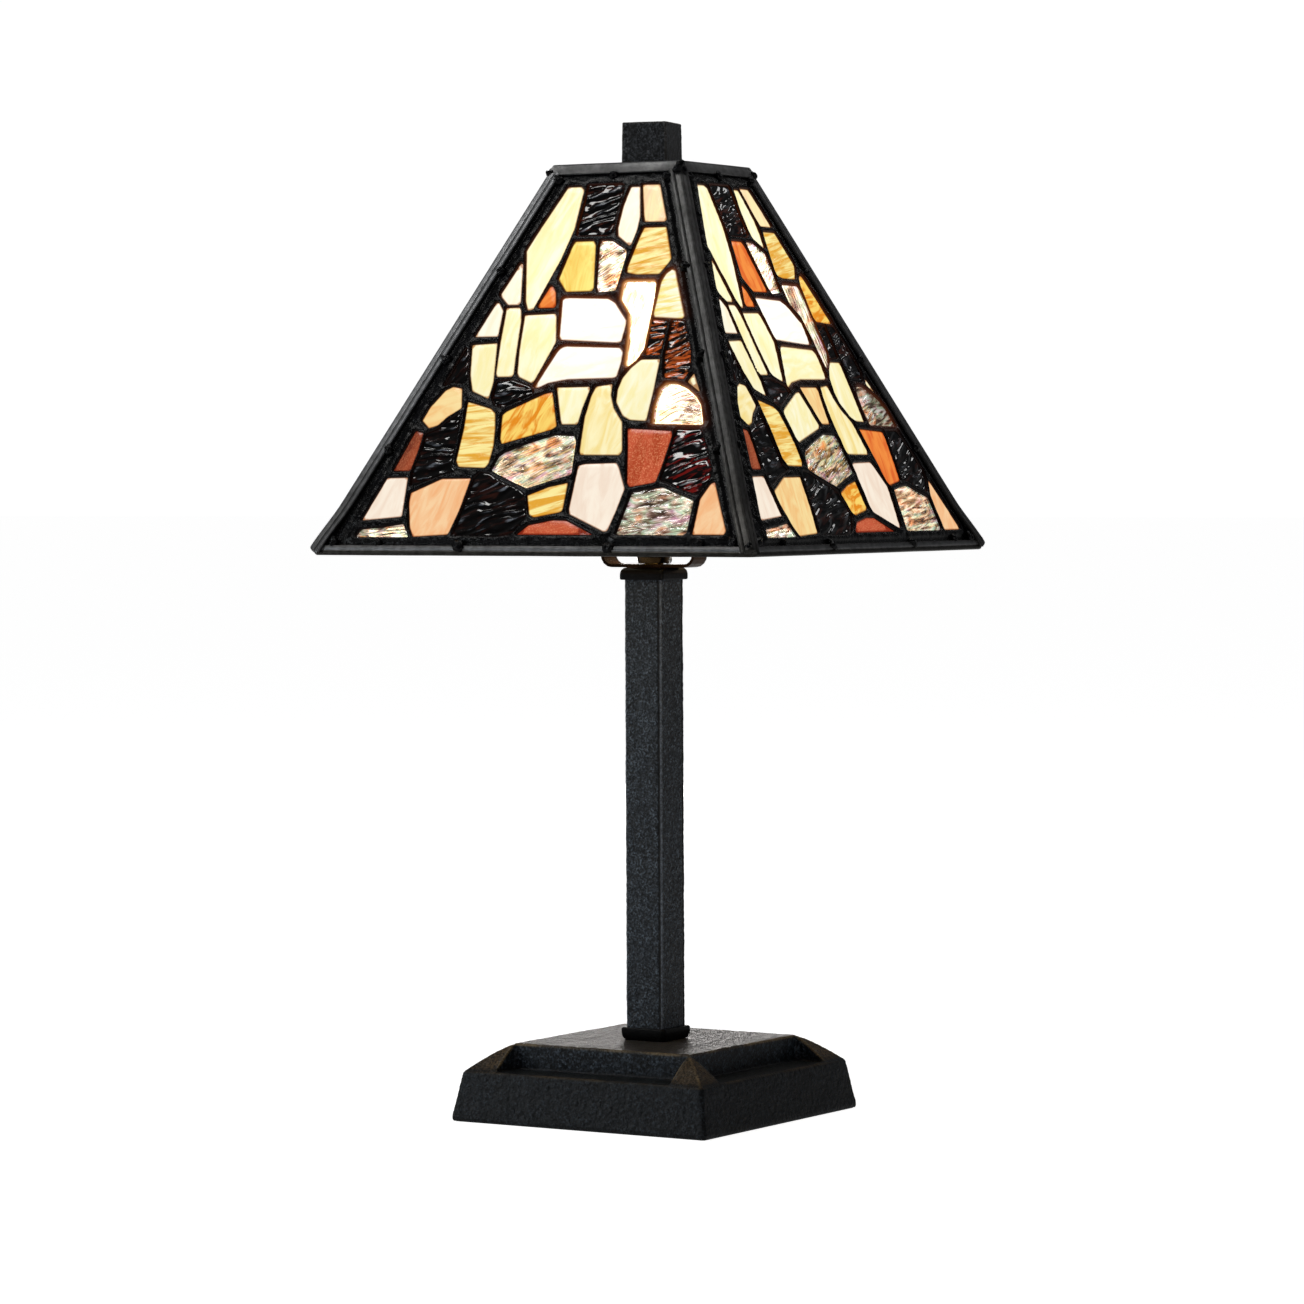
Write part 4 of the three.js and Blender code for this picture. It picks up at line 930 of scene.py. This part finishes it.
# ------------------------------------------------------------------ hammered metal
STEM_SIDE = 21.9
STEM_WALL = 1.4
STEM_BOTTOM, STEM_TOP = 42.5, 278.6
FINIAL_FOOT, FINIAL_HEAD = 24.3, 23.7
FINIAL_BOTTOM, FINIAL_TOP = 486.05, 507.5
FINIAL_BORE, FINIAL_BORE_TOP = 5.3, 501.0
FINIAL_SOFT = 0.45
FINIAL_YAW = 12
FOLD_INSET = 1.5
FOLD_WIDTH = 0.75
FOLD_DEPTH = 0.3
SKIRT_TOP = 4.0
SKIRT_STRETCH = 1.25
LEDGE_HALF, LEDGE_Z = 70.8, 25.5
BLOCK_HALF, BLOCK_Z = 53.2, 26.2
CASTING_TOP = 38.0
EASE_ROUNDS = 2
EASE_SHARE = 0.5
CORNER_RADIUS = 0.8
LOOP_STEP = 0.4


def rows(items, field, width=3, kind=float):
    """A field of a mesh's vertices or edges, one row for each."""
    values = np.empty(len(items) * width, kind)
    items.foreach_get(field, values)
    return values.reshape(-1, width)


def convexity(mesh, points, normals):
    """How sharply a skin bends outwards at each vertex, per mm, averaged over its neighbours."""
    first, second = rows(mesh.edges, "vertices", 2, np.int32).T
    span = points[second] - points[first]
    length = np.maximum(np.sum(span**2, axis=1), 1e-6)
    bend = np.sum((normals[second] - normals[first]) * span, axis=1) / length
    count = len(points)
    number = np.maximum(np.bincount(first, minlength=count) + np.bincount(second, minlength=count), 1)
    mean = (np.bincount(first, bend, count) + np.bincount(second, bend, count)) / number
    total = np.bincount(first, mean[second], count) + np.bincount(second, mean[first], count)
    return 0.5 * (mean + total / number)


def folded_seam(where):
    """The fold beside each corner of the stem, on the face to its left, where it is dented and painted with
    shade.
    """
    x, y = where[:, 0], where[:, 1]
    along = np.where(np.abs(y) >= np.abs(x), -np.sign(y) * x, np.sign(x) * y)
    return np.exp(-(((STEM_SIDE / 2 - FOLD_INSET - along) / FOLD_WIDTH) ** 2))


def hammered(piece, node, shader, dent, swell=0.0, share=1.0):
    """Dents a finely divided skin along its normals and marks its hollows, and its convex edges for a lighter
    tone that is partly abrasion and partly a painted highlight.
    """
    mesh = piece.data
    points = rows(mesh.vertices, "co")
    normals = rows(mesh.vertex_normals, "vector")
    where = points / MM
    seed = len(node)
    pits = 0.7 * np.abs(drift(where, 5.2, seed, 9)) + 0.7 * np.abs(drift(where, 3.0, seed + 1, 11))
    relief = swell + dent * share * (np.minimum(pits, 1.3) - 0.6 + 0.5 * drift(where, 14.0, seed + 2))
    fold = folded_seam(where) if node == "stem_tube" else np.zeros(len(points))
    relief = relief - FOLD_DEPTH * fold
    # Convex edges are marked for a lighter tone: partly abrasion, partly a painted highlight.
    worn_and_highlit = smoothstep(convexity(mesh, where, normals), 0.08, 0.26)
    if node == "base_casting":
        ledge = smoothstep(where[:, 2], 24.2, 26.0)
        worn_and_highlit *= ledge * (0.3 + 0.7 * smoothstep(drift(where, 24.0, 78), -0.3, 0.5))
    points += normals * relief[:, None] * MM
    if node == "base_casting":
        low = points[:, 2] < SKIRT_TOP * MM
        points[low, 2] = (SKIRT_TOP - (SKIRT_TOP - points[low, 2] / MM) * SKIRT_STRETCH) * MM
    mesh.vertices.foreach_set("co", points.ravel())
    mark(mesh, "hollow", np.clip(pits / 1.3, 0, 1))
    mark(mesh, "rub", rubbed_and_highlit(node, where, normals))
    mark(mesh, "wear_and_highlight", worn_and_highlit)
    mark(mesh, "fold", fold)
    body = "finial" if node == "finial_block" else "root"
    return dressed(piece, shader, body, [node])


def forged(node, shader, voxel, dent, swell):
    """The CAD solid remeshed finely, its edges eased and its skin hammered.

    Easing draws the skin in, so it swells a little to keep its size.
    """
    mesh = NODES[node].data.copy()
    piece = linked(node + "_skin", mesh)
    remesh = piece.modifiers.new("remesh", "REMESH")
    remesh.mode = "VOXEL"
    remesh.voxel_size = voxel * MM
    smooth = piece.modifiers.new("smooth", "SMOOTH")
    smooth.iterations = EASE_ROUNDS
    smooth.factor = EASE_SHARE
    evaluated = piece.evaluated_get(bpy.context.evaluated_depsgraph_get())
    fine = bpy.data.meshes.new_from_object(evaluated)
    piece.modifiers.clear()
    piece.data = fine
    bpy.data.meshes.remove(mesh)
    return hammered(piece, node, shader, dent, swell)


def square_loop(side, radius):
    """A square with rounded corners, anticlockwise from its lower left."""
    half = side / 2
    return softened(np.array([(-half, -half), (half, -half), (half, half), (-half, half)]), radius, LOOP_STEP)


def bar(node, shader, rings, yaw, dent, share, ends=True):
    """A square bar's skin through rings of as many points each; share is how much each ring is dented.

    Without ends, the last ring joins the first, which makes a tube.
    """
    vertices, faces = strip(rings)
    if not ends:
        faces = faces[:-2]
        count = len(rings[0])
        last = len(vertices) - count
        faces += [(last + i, last + (i + 1) % count, (i + 1) % count, i) for i in range(count)]
    mesh = bpy.data.meshes.new(node + "_skin")
    points = moved(vertices, Matrix.Scale(MM, 4) @ Matrix.Rotation(math.radians(yaw), 4, "Z"))
    mesh.from_pydata([tuple(p) for p in points], [], faces)
    mesh.update()
    piece = linked(node + "_skin", mesh)
    return hammered(oriented(piece), node, shader, dent, share=np.repeat(share, len(rings[0])))


def at_height(loop, z):
    return np.column_stack([loop, np.full(len(loop), z)])


def stem_tube(shader):
    outside = square_loop(STEM_SIDE, CORNER_RADIUS)
    inside_loop = outside * (STEM_SIDE - 2 * STEM_WALL) / STEM_SIDE
    heights = np.arange(STEM_BOTTOM, STEM_TOP, 0.6).tolist() + [STEM_TOP]
    rings = [at_height(outside, z) for z in heights]
    rings += [at_height(inside_loop, STEM_TOP), at_height(inside_loop, STEM_BOTTOM)]
    bar("stem_tube", shader, rings, 0, 0.15, [1.0] * len(heights) + [0.0, 0.0], ends=False)


def finial_block(shader):
    outside = square_loop(FINIAL_FOOT, CORNER_RADIUS) / FINIAL_FOOT
    hole = outside / np.linalg.norm(outside, axis=1)[:, None] * FINIAL_BORE
    rings = [at_height(hole, FINIAL_BORE_TOP), at_height(hole, FINIAL_BOTTOM)]
    rings += [at_height(outside * (FINIAL_FOOT - 2 * FINIAL_SOFT), FINIAL_BOTTOM)]
    share = [0.0, 0.0, 0.0]
    low, high = FINIAL_BOTTOM + FINIAL_SOFT, FINIAL_TOP - FINIAL_SOFT
    for z in np.arange(low, high, 0.55).tolist() + [high]:
        width = FINIAL_FOOT + (FINIAL_HEAD - FINIAL_FOOT) * (z - FINIAL_BOTTOM) / (FINIAL_TOP - FINIAL_BOTTOM)
        rings.append(at_height(outside * width, z))
        share.append(1.0)
    for width in np.arange(FINIAL_HEAD - 2 * FINIAL_SOFT, 1.0, -1.2):
        rings.append(at_height(outside * width, FINIAL_TOP))
        share.append(0.6)
    bar("finial_block", shader, rings, FINIAL_YAW, 0.1, share)


def rubbed_and_highlit(node, where, normals):
    """Where brown shows through the base's black: its corner blocks' slopes, a little on top, and a thin line
    along its ledge that is partly abrasion and partly a painted highlight.
    """
    if node != "base_casting":
        return np.zeros(len(where))
    x, y, z = np.abs(where).T
    corner = (x > BLOCK_HALF) & (y > BLOCK_HALF) & (z > BLOCK_Z)
    slope = corner * smoothstep(normals[:, 2], 0.12, 0.45) * 0.75
    top = (z > CASTING_TOP) * smoothstep(normals[:, 2], 0.6, 0.95) * 0.35
    # The ledge's edge line is partly abrasion and partly a painted highlight.
    ledge_edge = np.exp(-((np.maximum(x, y) - LEDGE_HALF) ** 2 + (z - LEDGE_Z) ** 2) / 0.7)
    ledge_edge *= 0.85 * smoothstep(drift(where, 30.0, 77), -0.2, 0.7)
    return np.maximum(np.maximum(slope, top), ledge_edge)


# ------------------------------------------------------------------ materials
def hammered_metal(name, low, high, fleck_tone, wear_and_highlight_tone, wear_and_highlight, foot_shade=1.0, gloss=0.3):
    """Black paint over dents: paler flecks on what stands proud, brown or grey on convex edges, partly from
    abrasion and partly a painted highlight.

    foot_shade is painted shade: below the base's ledge the colour keeps only this share of its brightness.
    """
    paint = Shader(name, Metallic=0.0, Specular_IOR_Level=gloss)
    place = paint.place()
    speck = paint.noise(place, 900.0, 3.0, 0.6)
    lump = paint.noise(place, 420.0, 2.0, 0.5, 0.6)
    cloud = paint.noise(place, 60.0, 3.0)
    hollow = paint.attribute("hollow")
    rub = paint.attribute("rub")
    dark = paint.mix(paint.between(cloud, 0.35, 0.7), low, high)
    raised = paint.between(hollow, 0.2, 0.9, 0.35, 1.0)
    fleck = paint.math("MULTIPLY", raised, paint.between(speck, 0.41, 0.7), clamp=True)
    cool = paint.mix(fleck, dark, fleck_tone)
    brown = paint.mix(paint.between(speck, 0.35, 0.7), "#1F1A12", "#76603F")
    worn_and_highlit = paint.math("MULTIPLY", rub, paint.between(cloud, 0.2, 0.6, 0.55, 1.0), clamp=True)
    colour = paint.mix(worn_and_highlit, cool, brown)
    # Painted highlight and abrasion: convex edges turn towards the lighter edge tone.
    edge = paint.math("MULTIPLY", paint.attribute("wear_and_highlight"), paint.between(speck, 0.3, 0.6, 0.5 * wear_and_highlight, wear_and_highlight))
    colour = paint.mix(edge, colour, wear_and_highlight_tone)
    # Painted shade: the fold beside each stem corner is painted near black.
    colour = paint.mix(paint.between(paint.attribute("fold"), 0.1, 0.7, 0.0, 0.95), colour, "#030303")
    # Painted shade: below the base's ledge the colour is darkened towards black, by foot_shade.
    height = paint.add("SeparateXYZ", {0: place}, output="Z")
    grime_and_shade = paint.between(height, 0.0262, 0.0292, 1.0 - foot_shade, 0.0)
    colour = paint.mix(grime_and_shade, colour, (0.0, 0.0, 0.0))
    paint.dress(Base_Color=colour, Roughness=paint.between(speck, 0.3, 0.7, 0.34, 0.56))
    paint.bump(paint.math("ADD", lump, paint.math("MULTIPLY", speck, 0.4)), 0.0005, 1.0)
    return paint


def collar_metal():
    """The smooth black of the stem's two collars."""
    paint = Shader("collar_black", Metallic=0.0, Specular_IOR_Level=0.14)
    speck = paint.noise(paint.place(), 700.0, 3.0, 0.6)
    colour = paint.mix(paint.between(speck, 0.35, 0.7), "#020202", "#0B0908")
    paint.dress(Base_Color=colour, Roughness=paint.between(speck, 0.3, 0.7, 0.28, 0.4))
    paint.bump(speck, 0.00006, 0.5)
    return paint


def solder_metal():
    """Black solder with a painted orange glow of the bulb's light beside the glass."""
    metal = Shader("black_solder", Metallic=0.0, Specular_IOR_Level=0.16)
    place = metal.place()
    grime_and_shade = metal.noise(place, 420.0, 4.0, 0.6)
    blotch = metal.noise(place, 90.0, 3.0)
    black = metal.mix(metal.between(blotch, 0.35, 0.7), "#020202", "#09090D")
    metal.dress(Base_Color=black, Roughness=metal.between(grime_and_shade, 0.3, 0.7, 0.12, 0.34))
    # Painted glow: the foil beside the glass glows orange, most beside the brightest pieces.
    glow = metal.between(metal.attribute("lit"), 0.05, 0.7, 0.1, 1.0)
    near = metal.between(metal.attribute("rim"), 0.0, 1.3, 1.0, 0.0)
    warmth = metal.math("MULTIPLY", glow, near)
    halo = metal.attribute("halo")
    tone = metal.mix(metal.between(halo, 0.2, 0.9), "#8A3E12", "#E09A5C")
    spill = metal.math("ADD", metal.math("MULTIPLY", warmth, 0.12), metal.math("MULTIPLY", halo, 0.9))
    metal.dress(Emission_Color=tone, Emission_Strength=spill)
    metal.bump(metal.noise(place, 480.0, 5.0, 0.65), 0.0003, 0.8)
    return metal


def came_metal():
    """Dull dark lead, with a lighter grey painted on as sheen where each piece's mark asks for it."""
    metal = Shader("came_patina", Metallic=0.8, Specular_IOR_Level=0.3)
    place = metal.place()
    streak = metal.noise(place, 300.0, 3.0)
    blotch = metal.noise(place, 45.0, 4.0, 0.6)
    dull = metal.mix(metal.between(streak, 0.3, 0.7), "#282521", "#393733")
    painted_sheen_grey = metal.mix(metal.between(streak, 0.3, 0.7), "#7B7C7D", "#959698")
    grey = metal.mix(metal.attribute("polish"), dull, painted_sheen_grey)
    colour = metal.mix(metal.between(blotch, 0.5, 0.8, 0.0, 0.5), grey, "#262523")
    metal.dress(Base_Color=colour, Roughness=metal.between(blotch, 0.3, 0.7, 0.34, 0.46))
    metal.bump(streak, 0.00003, 0.4)
    return metal


def shine(glass, gain, level):
    """Lets a glass glow at a level, and more by gain where the bulb is near."""
    inputs = {0: glass.attribute("lit"), 1: gain, 2: level}
    glass.dress(Emission_Strength=glass.add("Math", inputs, operation="MULTIPLY_ADD"))


def opal_glass(name, main, streak, gain=0.28, stretch=(0.25, 0.9, 1.0), scale=0.16, contrast=0.22,
               edge_shade_tone="#A8682E", sand=0.0):
    """Glass that scatters the bulb's light: it glows, most near the bulb, with streaks along its grain."""
    glass = Shader(name, Roughness=0.12, IOR=1.52, Specular_IOR_Level=0.15)
    flow = glass.attribute("flow", "Vector")
    wander = glass.noise(glass.stretch(flow, stretch), scale, 4.0, 0.55, 1.2)
    fine = glass.noise(glass.stretch(flow, (0.5, 1.6, 1.0)), 0.8, 3.0, 0.6)
    share = glass.between(wander, 0.5 - contrast, 0.5 + contrast)
    colour = glass.mix(share, main, streak)
    colour = glass.mix(glass.between(fine, 0.5, 0.85, 0.0, 0.25), colour, streak)
    if sand:
        grit = glass.noise(flow, 1.7, 2.0, 0.6)
        colour = glass.mix(glass.between(grit, 0.5, 0.66, 0.0, sand), colour, "#F4A474")
    # Painted shade: each piece turns darker and warmer towards its edge beside the solder.
    edge = glass.between(glass.attribute("rim"), 0.5, 1.35, 0.85, 0.0)
    colour = glass.mix(edge, colour, edge_shade_tone, "MULTIPLY")
    glass.dress(Base_Color=glass.mix(0.94, colour, (0.0, 0.0, 0.0)), Emission_Color=colour)
    shine(glass, gain, 0.95)
    glass.bump(fine, 0.0002, 0.35)
    return glass


def clear_glass(name, pane, gain, level):
    """Rippled glass that lets the inside of the shade through, with a pearly bloom on its ridges painted as a
    glow.
    """
    glass = Shader(name, Roughness=0.05, IOR=1.5, Transmission_Weight=0.95)
    flow = glass.attribute("flow", "Vector")
    ridge = glass.noise(glass.stretch(flow, (0.28, 1.15, 1.0)), 0.3, 4.0, 0.58, 1.3)
    pearl = glass.noise(glass.stretch(flow, (0.5, 1.2, 1.0)), 0.15, 3.0, 0.6, 0.6)
    tint = glass.ramp(
        pearl, (0.36, "#E8A070"), (0.43, "#FFF4E8"), (0.5, "#B4DCBC"), (0.57, "#FBF4F4"), (0.66, "#C48EAE"))
    bloom = glass.ramp(ridge, (0.37, "#1C1214"), (0.44, "#74564E"), (0.5, "#CCBEB0"), (0.58, "#FFFFFF"))
    colour = glass.mix(1.0, bloom, tint, "MULTIPLY")
    # Painted light: the pearly colours and the bright and dark bands along the ridges glow, standing in for
    # light seen through the ripples.
    glass.dress(Base_Color=glass.mix(0.55, colour, pane), Emission_Color=colour)
    shine(glass, gain, level)
    return glass


def dark_glass(name, tint, glow, strength, transmission, low, high, gloss, painted_glint_tone):
    """Glass so dark that it shows black: a glow where light gets through, and painted grey glints along its
    ripples' crests.
    """
    glass = Shader(name, Roughness=0.06, IOR=1.52, Transmission_Weight=transmission, Specular_IOR_Level=gloss)
    flow = glass.attribute("flow", "Vector")
    ridge = glass.noise(glass.stretch(flow, (0.3, 1.2, 1.0)), 0.3, 3.0, 0.55, 0.8)
    share = glass.between(ridge, low, high)
    broken = glass.between(glass.noise(glass.stretch(flow, (0.2, 0.8, 1.0)), 0.5, 3.0, 0.6), 0.4, 0.62)
    # Painted glints: grey in broken streaks along the ripples' crests.
    crest = glass.between(glass.attribute("crest"), 0.45, 0.95)
    streak = glass.math("MULTIPLY", crest, broken)
    dark = glass.mix(share, "#030202", tint)
    glow = glass.mix(share, (0, 0, 0), glow)
    glass.dress(Base_Color=glass.mix(streak, dark, painted_glint_tone), Emission_Color=glow)
    shine(glass, strength, 0.25 * strength)
    return glass


def glass_shaders():
    streaky = {"stretch": (0.12, 1.1, 1.0), "scale": 0.26, "contrast": 0.12}
    return {
        C: opal_glass("cream_glass", "#FAEEAE", "#FFFBDA", gain=0.22),
        CP: opal_glass("pale_cream_glass", "#FCF0D0", "#FFFBE8", gain=0.22),
        CK: opal_glass("pink_cream_glass", "#FCEFB6", "#F7CFA6", gain=0.2, contrast=0.3),
        CW: opal_glass("wispy_cream_glass", "#F7DF92", "#FFF5C4", contrast=0.16),
        CS: opal_glass("striped_cream_glass", "#F5DF7C", "#FFFBDC", gain=0.12, **streaky),
        AS: opal_glass("striped_amber_glass", "#E8A838", "#FFEFA0", gain=0.05, **streaky),
        AW: opal_glass("amber_glass", "#E98E20", "#FFDA70", gain=0.05, scale=0.22, contrast=0.1),
        AM: opal_glass("smooth_amber_glass", "#F3BC4A", "#FFEC84", gain=0.06, contrast=0.18),
        AP: opal_glass("apricot_glass", "#F6C27E", "#FCE2A2", gain=0.1, contrast=0.2),
        PE: opal_glass("peach_glass", "#F6B57E", "#FCD4A4", gain=0.1, contrast=0.2),
        OW: opal_glass("opal_glass", "#F5E0CC", "#FFF2E0"),
        RU: opal_glass("russet_glass", "#6E2E1E", "#A04C30", gain=0.0, edge_shade_tone="#9A5030", sand=0.3),
        RO: opal_glass("rust_glass", "#AE4426", "#C8583A", gain=0.0, edge_shade_tone="#9A5030", sand=0.6),
        OR: opal_glass("orange_glass", "#E0662C", "#F89444", gain=0.05, contrast=0.18),
        ML: opal_glass("milk_glass", "#FFF6DE", "#FFFFFA", gain=0.3),
        CL: clear_glass("clear_rippled_glass", "#E4D4C2", 0.8, 0.5),
        CB: clear_glass("smoky_rippled_glass", "#A89078", 0.5, 0.3),
        BL: dark_glass("black_rippled_glass", "#1A0A08", "#5A2A1C", 0.5, 0.06, 0.5, 0.74, 0.32, "#8C929C"),
        GA: dark_glass("garnet_rippled_glass", "#3A0806", "#B41E18", 0.9, 0.1, 0.5, 0.64, 0.4, "#A8AAAE"),
        BR: dark_glass("ember_glass", "#9A4212", "#D0642A", 0.8, 0.3, 0.49, 0.63, 0.36, "#B87850"),
    }


def plain_metal(name, low, high, roughness, metallic=1.0, scale=300.0):
    """A surface between two tones, in patches, with a fine grain."""
    metal = Shader(name, Metallic=metallic)
    place = metal.place()
    patch = metal.noise(place, scale / 6, 3.0)
    grain = metal.noise(place, scale, 4.0)
    colour = metal.mix(metal.between(patch, 0.3, 0.7), low, high)
    metal.dress(
        Base_Color=colour, Roughness=metal.between(grain, 0.3, 0.7, roughness - 0.06, roughness + 0.1))
    metal.bump(grain, 0.00004, 0.5)
    return metal


def plastic(name, low, high, roughness=0.45, scale=700.0):
    return plain_metal(name, low, high, roughness, 0.0, scale)


def felt_cloth():
    felt = Shader("felt", Roughness=0.95, Sheen_Weight=0.4, Sheen_Roughness=0.5)
    place = felt.place()
    fibre = felt.noise(place, 1500.0, 5.0, 0.75, 1.5)
    felt.dress(Base_Color=felt.mix(felt.between(fibre, 0.3, 0.7), "#0D100E", "#232A25"))
    felt.bump(fibre, 0.0004, 0.9)
    return felt


def bulb_envelope():
    glow = Shader("lit_bulb_glass", Roughness=0.3, Base_Color="#FFF3DC")
    place = glow.place()
    mottle = glow.noise(place, 30.0, 2.0)
    tone = glow.mix(glow.between(mottle, 0.3, 0.7), "#FFDFA8", "#FFE9C0")
    glow.dress(Emission_Color=tone, Emission_Strength=5.0)
    return glow


# ------------------------------------------------------------------ fittings
HARP_RADIUS = 2.0
HARP_FOOT, HARP_BELLY, HARP_CROWN = 27.5, 46.0, 8.0
HARP_FOOT_Z, HARP_BELLY_Z, HARP_TOP_Z = 300.3, 385.0, 478.0
NECK_RADIUS, NECK_Z, NECK_TOP = 12.6, 346.8, 354.5
GLOBE_START = -48
SWITCH_Z = 308

# Turned sections as (radius, z) in mm.
EYE = [(2.6, 475.8), (6.2, 475.8), (6.5, 476.2), (6.5, 479.8), (6.2, 480.2), (2.6, 480.2), (2.6, 475.8)]
SLEEVE = [
    (2.7, 290.6), (3.8, 290.6), (4.0, 290.8), (4.0, 292.4), (3.7, 293.2), (3.5, 293.8), (3.5, 304.3),
    (3.2, 304.6), (2.7, 304.6), (2.7, 290.6)]
SOCKET_CAP = [
    (5.3, 283), (7.8, 283), (8.1, 283.3), (8.5, 286.2), (10.5, 287.3), (13.5, 288.6), (15.8, 290.8),
    (17.2, 293.2), (17.8, 295.6), (18.0, 297.5), (18.0, 302.5), (17.7, 303), (17.1, 303), (17.1, 297.5),
    (16.2, 293.8), (12.8, 289.8), (5.3, 287.6), (5.3, 283)]
SOCKET_SHELL = [
    (16.1, 303.2), (16.8, 303.2), (16.8, 343.2), (17.3, 343.8), (17.5, 344.4), (17.2, 344.9), (16.6, 345),
    (16.1, 345), (16.1, 303.2)]
KNOB = [
    (1.8, 18.5), (5.0, 18.5), (5.4, 19.0), (5.3, 22), (4.7, 23), (4.7, 28.6), (4.4, 29.6), (3.6, 30), (0, 30)]


def rod_along(name, points, radius, shader, body, replaces=()):
    """A round wire through points in mm, as a mesh."""
    curve = bpy.data.curves.new(name, "CURVE")
    curve.dimensions = "3D"
    curve.bevel_depth = radius * MM
    curve.bevel_resolution = 6
    curve.use_fill_caps = True
    spline = curve.splines.new("POLY")
    spline.points.add(len(points) - 1)
    for point, place in zip(spline.points, points):
        point.co = (*(np.array(place) * MM), 1)
    holder = linked(name + "_curve", curve)
    mesh = bpy.data.meshes.new_from_object(holder.evaluated_get(bpy.context.evaluated_depsgraph_get()))
    bpy.data.objects.remove(holder)
    bpy.data.curves.remove(curve)
    mesh.name = name
    return sharpened(dressed(linked(name, mesh), shader, body, replaces), 45)


def bezier(a, b, c, d, steps):
    """Points on a cubic curve from a towards d, which is left out."""
    a, b, c, d = (np.array(p, float) for p in (a, b, c, d))
    shares = [i / steps for i in range(steps)]
    return [(1 - t) ** 3 * a + 3 * t * (1 - t) ** 2 * b + 3 * t * t * (1 - t) * c + t**3 * d for t in shares]


def harp_path():
    """The harp's wire from one foot over the top to the other, in mm."""
    foot, belly = (HARP_FOOT, 0, 319), (HARP_BELLY, 0, HARP_BELLY_Z)
    crown = (HARP_CROWN, 0, HARP_TOP_Z)
    half = [np.array((HARP_FOOT, 0, z)) for z in (HARP_FOOT_Z, 306, 312)]
    half += bezier(foot, (HARP_FOOT, 0, 342), (HARP_BELLY, 0, 350), belly, 16)
    half += bezier(belly, (HARP_BELLY, 0, 432), (26, 0, HARP_TOP_Z), crown, 24)
    half += [np.array(crown)]
    return half + [point * (-1, 1, 1) for point in half[::-1]]


def bulb_profile(offset, steps=28):
    """The bulb's globe and neck, drawn in by an offset: from the neck's foot to the crown."""
    radius = BULB_RADIUS - offset
    neck = NECK_RADIUS - offset
    low_x = radius * math.cos(math.radians(GLOBE_START))
    low_z = BULB_Z + radius * math.sin(math.radians(GLOBE_START))
    waist = np.array(((neck + low_x) / 2 - 0.8, (NECK_TOP + low_z) / 2 + 2))
    a, b = np.array((neck, NECK_TOP)), np.array((neck + 0.6, 362.0))
    points = [(neck, NECK_Z), (neck, 350.0), (neck, NECK_TOP)]
    points += [tuple((1 - t) ** 2 * a + 2 * t * (1 - t) * b + t * t * waist) for t in (0.3, 0.6, 1.0)]
    globe = arc((0, BULB_Z), radius, GLOBE_START, 90, steps)
    globe[-1] = (0.0, BULB_Z + radius)
    return points + globe


def make_fittings(brass, antique, black, envelope):
    rod_along("harp_wire_round", harp_path(), HARP_RADIUS, brass, "root", ["harp_wire"])
    turned("harp_eye", EYE, brass, "root", "brass")
    for side, place in (("left", -HARP_FOOT), ("right", HARP_FOOT)):
        turned(f"ferrule_{side}_sleeve", SLEEVE, brass, f"ferrule_{side}_body", "brass",
               [f"ferrule_{side}"], Matrix.Translation((place, 0, 0)))
    turned("socket_cap_skin", SOCKET_CAP, antique, "root", "brass", ["socket_cap"])
    turned("socket_shell_skin", SOCKET_SHELL, antique, "root", "brass", ["socket_shell"])
    envelope_section = bulb_profile(0) + bulb_profile(0.8)[::-1] + bulb_profile(0)[:1]
    turned("bulb_envelope", envelope_section, envelope, "bulb", "bulb_glass", ["bulb_glass"])
    facing = Matrix.Translation((0, 0, SWITCH_Z)) @ Matrix.Rotation(math.pi / 2, 4, "X")
    turned("switch_knob_grip", KNOB, black, "switch", "black_plastic", ["switch_knob"], facing)


def finish_cad_nodes(shaders):
    """Every CAD node that stays visible gets its material."""
    for node, shader in shaders.items():
        piece = NODES[node]
        piece.data.materials.clear()
        piece.data.materials.append(shader.material)


def main():
    bpy.context.scene.view_settings.view_transform = "Standard"
    make_camera()
    make_world()
    make_floor()
    make_lights()

    solder = solder_metal()
    came = came_metal()
    stem_paint = hammered_metal("stem_paint", "#07090B", "#10161C", "#6E7B88", "#9AA2AE", 0.4)
    base_paint = hammered_metal("base_paint", "#07090B", "#10161C", "#56616C", "#94805E", 0.6, 0.38, 0.2)
    finial_paint = hammered_metal("finial_paint", "#101112", "#1C1E20", "#5E6268", "#6A6660", 0.35)
    collar = collar_metal()
    brass = plain_metal("brass", "#8C6A34", "#C39A55", 0.28)
    antique = plain_metal("antique_brass", "#2E2115", "#6E5636", 0.26)
    bronze = plain_metal("dark_bronze", "#1E130B", "#4A3320", 0.26)
    steel = plain_metal("zinc_steel", "#7C7E80", "#A8AAAB", 0.33)
    black = plastic("black_moulding", "#0E0D0B", "#1D1A17")
    paper = plastic("pressed_paper", "#54452F", "#7A654A", 0.8)
    mount = plastic("lamp_glass_mount", "#E8E0D0", "#FFFFFF", 0.2)

    make_glass(glass_shaders())
    make_solder(solder)
    make_cames(came)
    forged("base_casting", base_paint, 0.6, 0.13, 0.15)
    stem_tube(stem_paint)
    forged("lower_collar", collar, 0.32, 0.03, 0.1)
    forged("upper_collar", collar, 0.32, 0.03, 0.1)
    finial_block(finial_paint)
    make_fittings(brass, antique, black, bulb_envelope())
    finish_cad_nodes({
        "felt_pad": felt_cloth(), "cord_bushing": black, "lamp_pipe": brass, "base_lock_washer": steel,
        "base_nut": steel, "harp_saddle": bronze, "socket_set_screw": steel, "socket_liner": paper,
        "socket_body": black, "screw_shell": brass, "centre_contact": brass, "terminal_screw_live": brass,
        "terminal_screw_neutral": steel, "switch_shaft": brass, "bulb_base": brass, "bulb_tip_contact": steel,
        "bulb_mount": mount, "bulb_filament": steel, "shade_cap_plate": came, "harp_stud": brass,
        "finial_insert": brass,
    })


main()
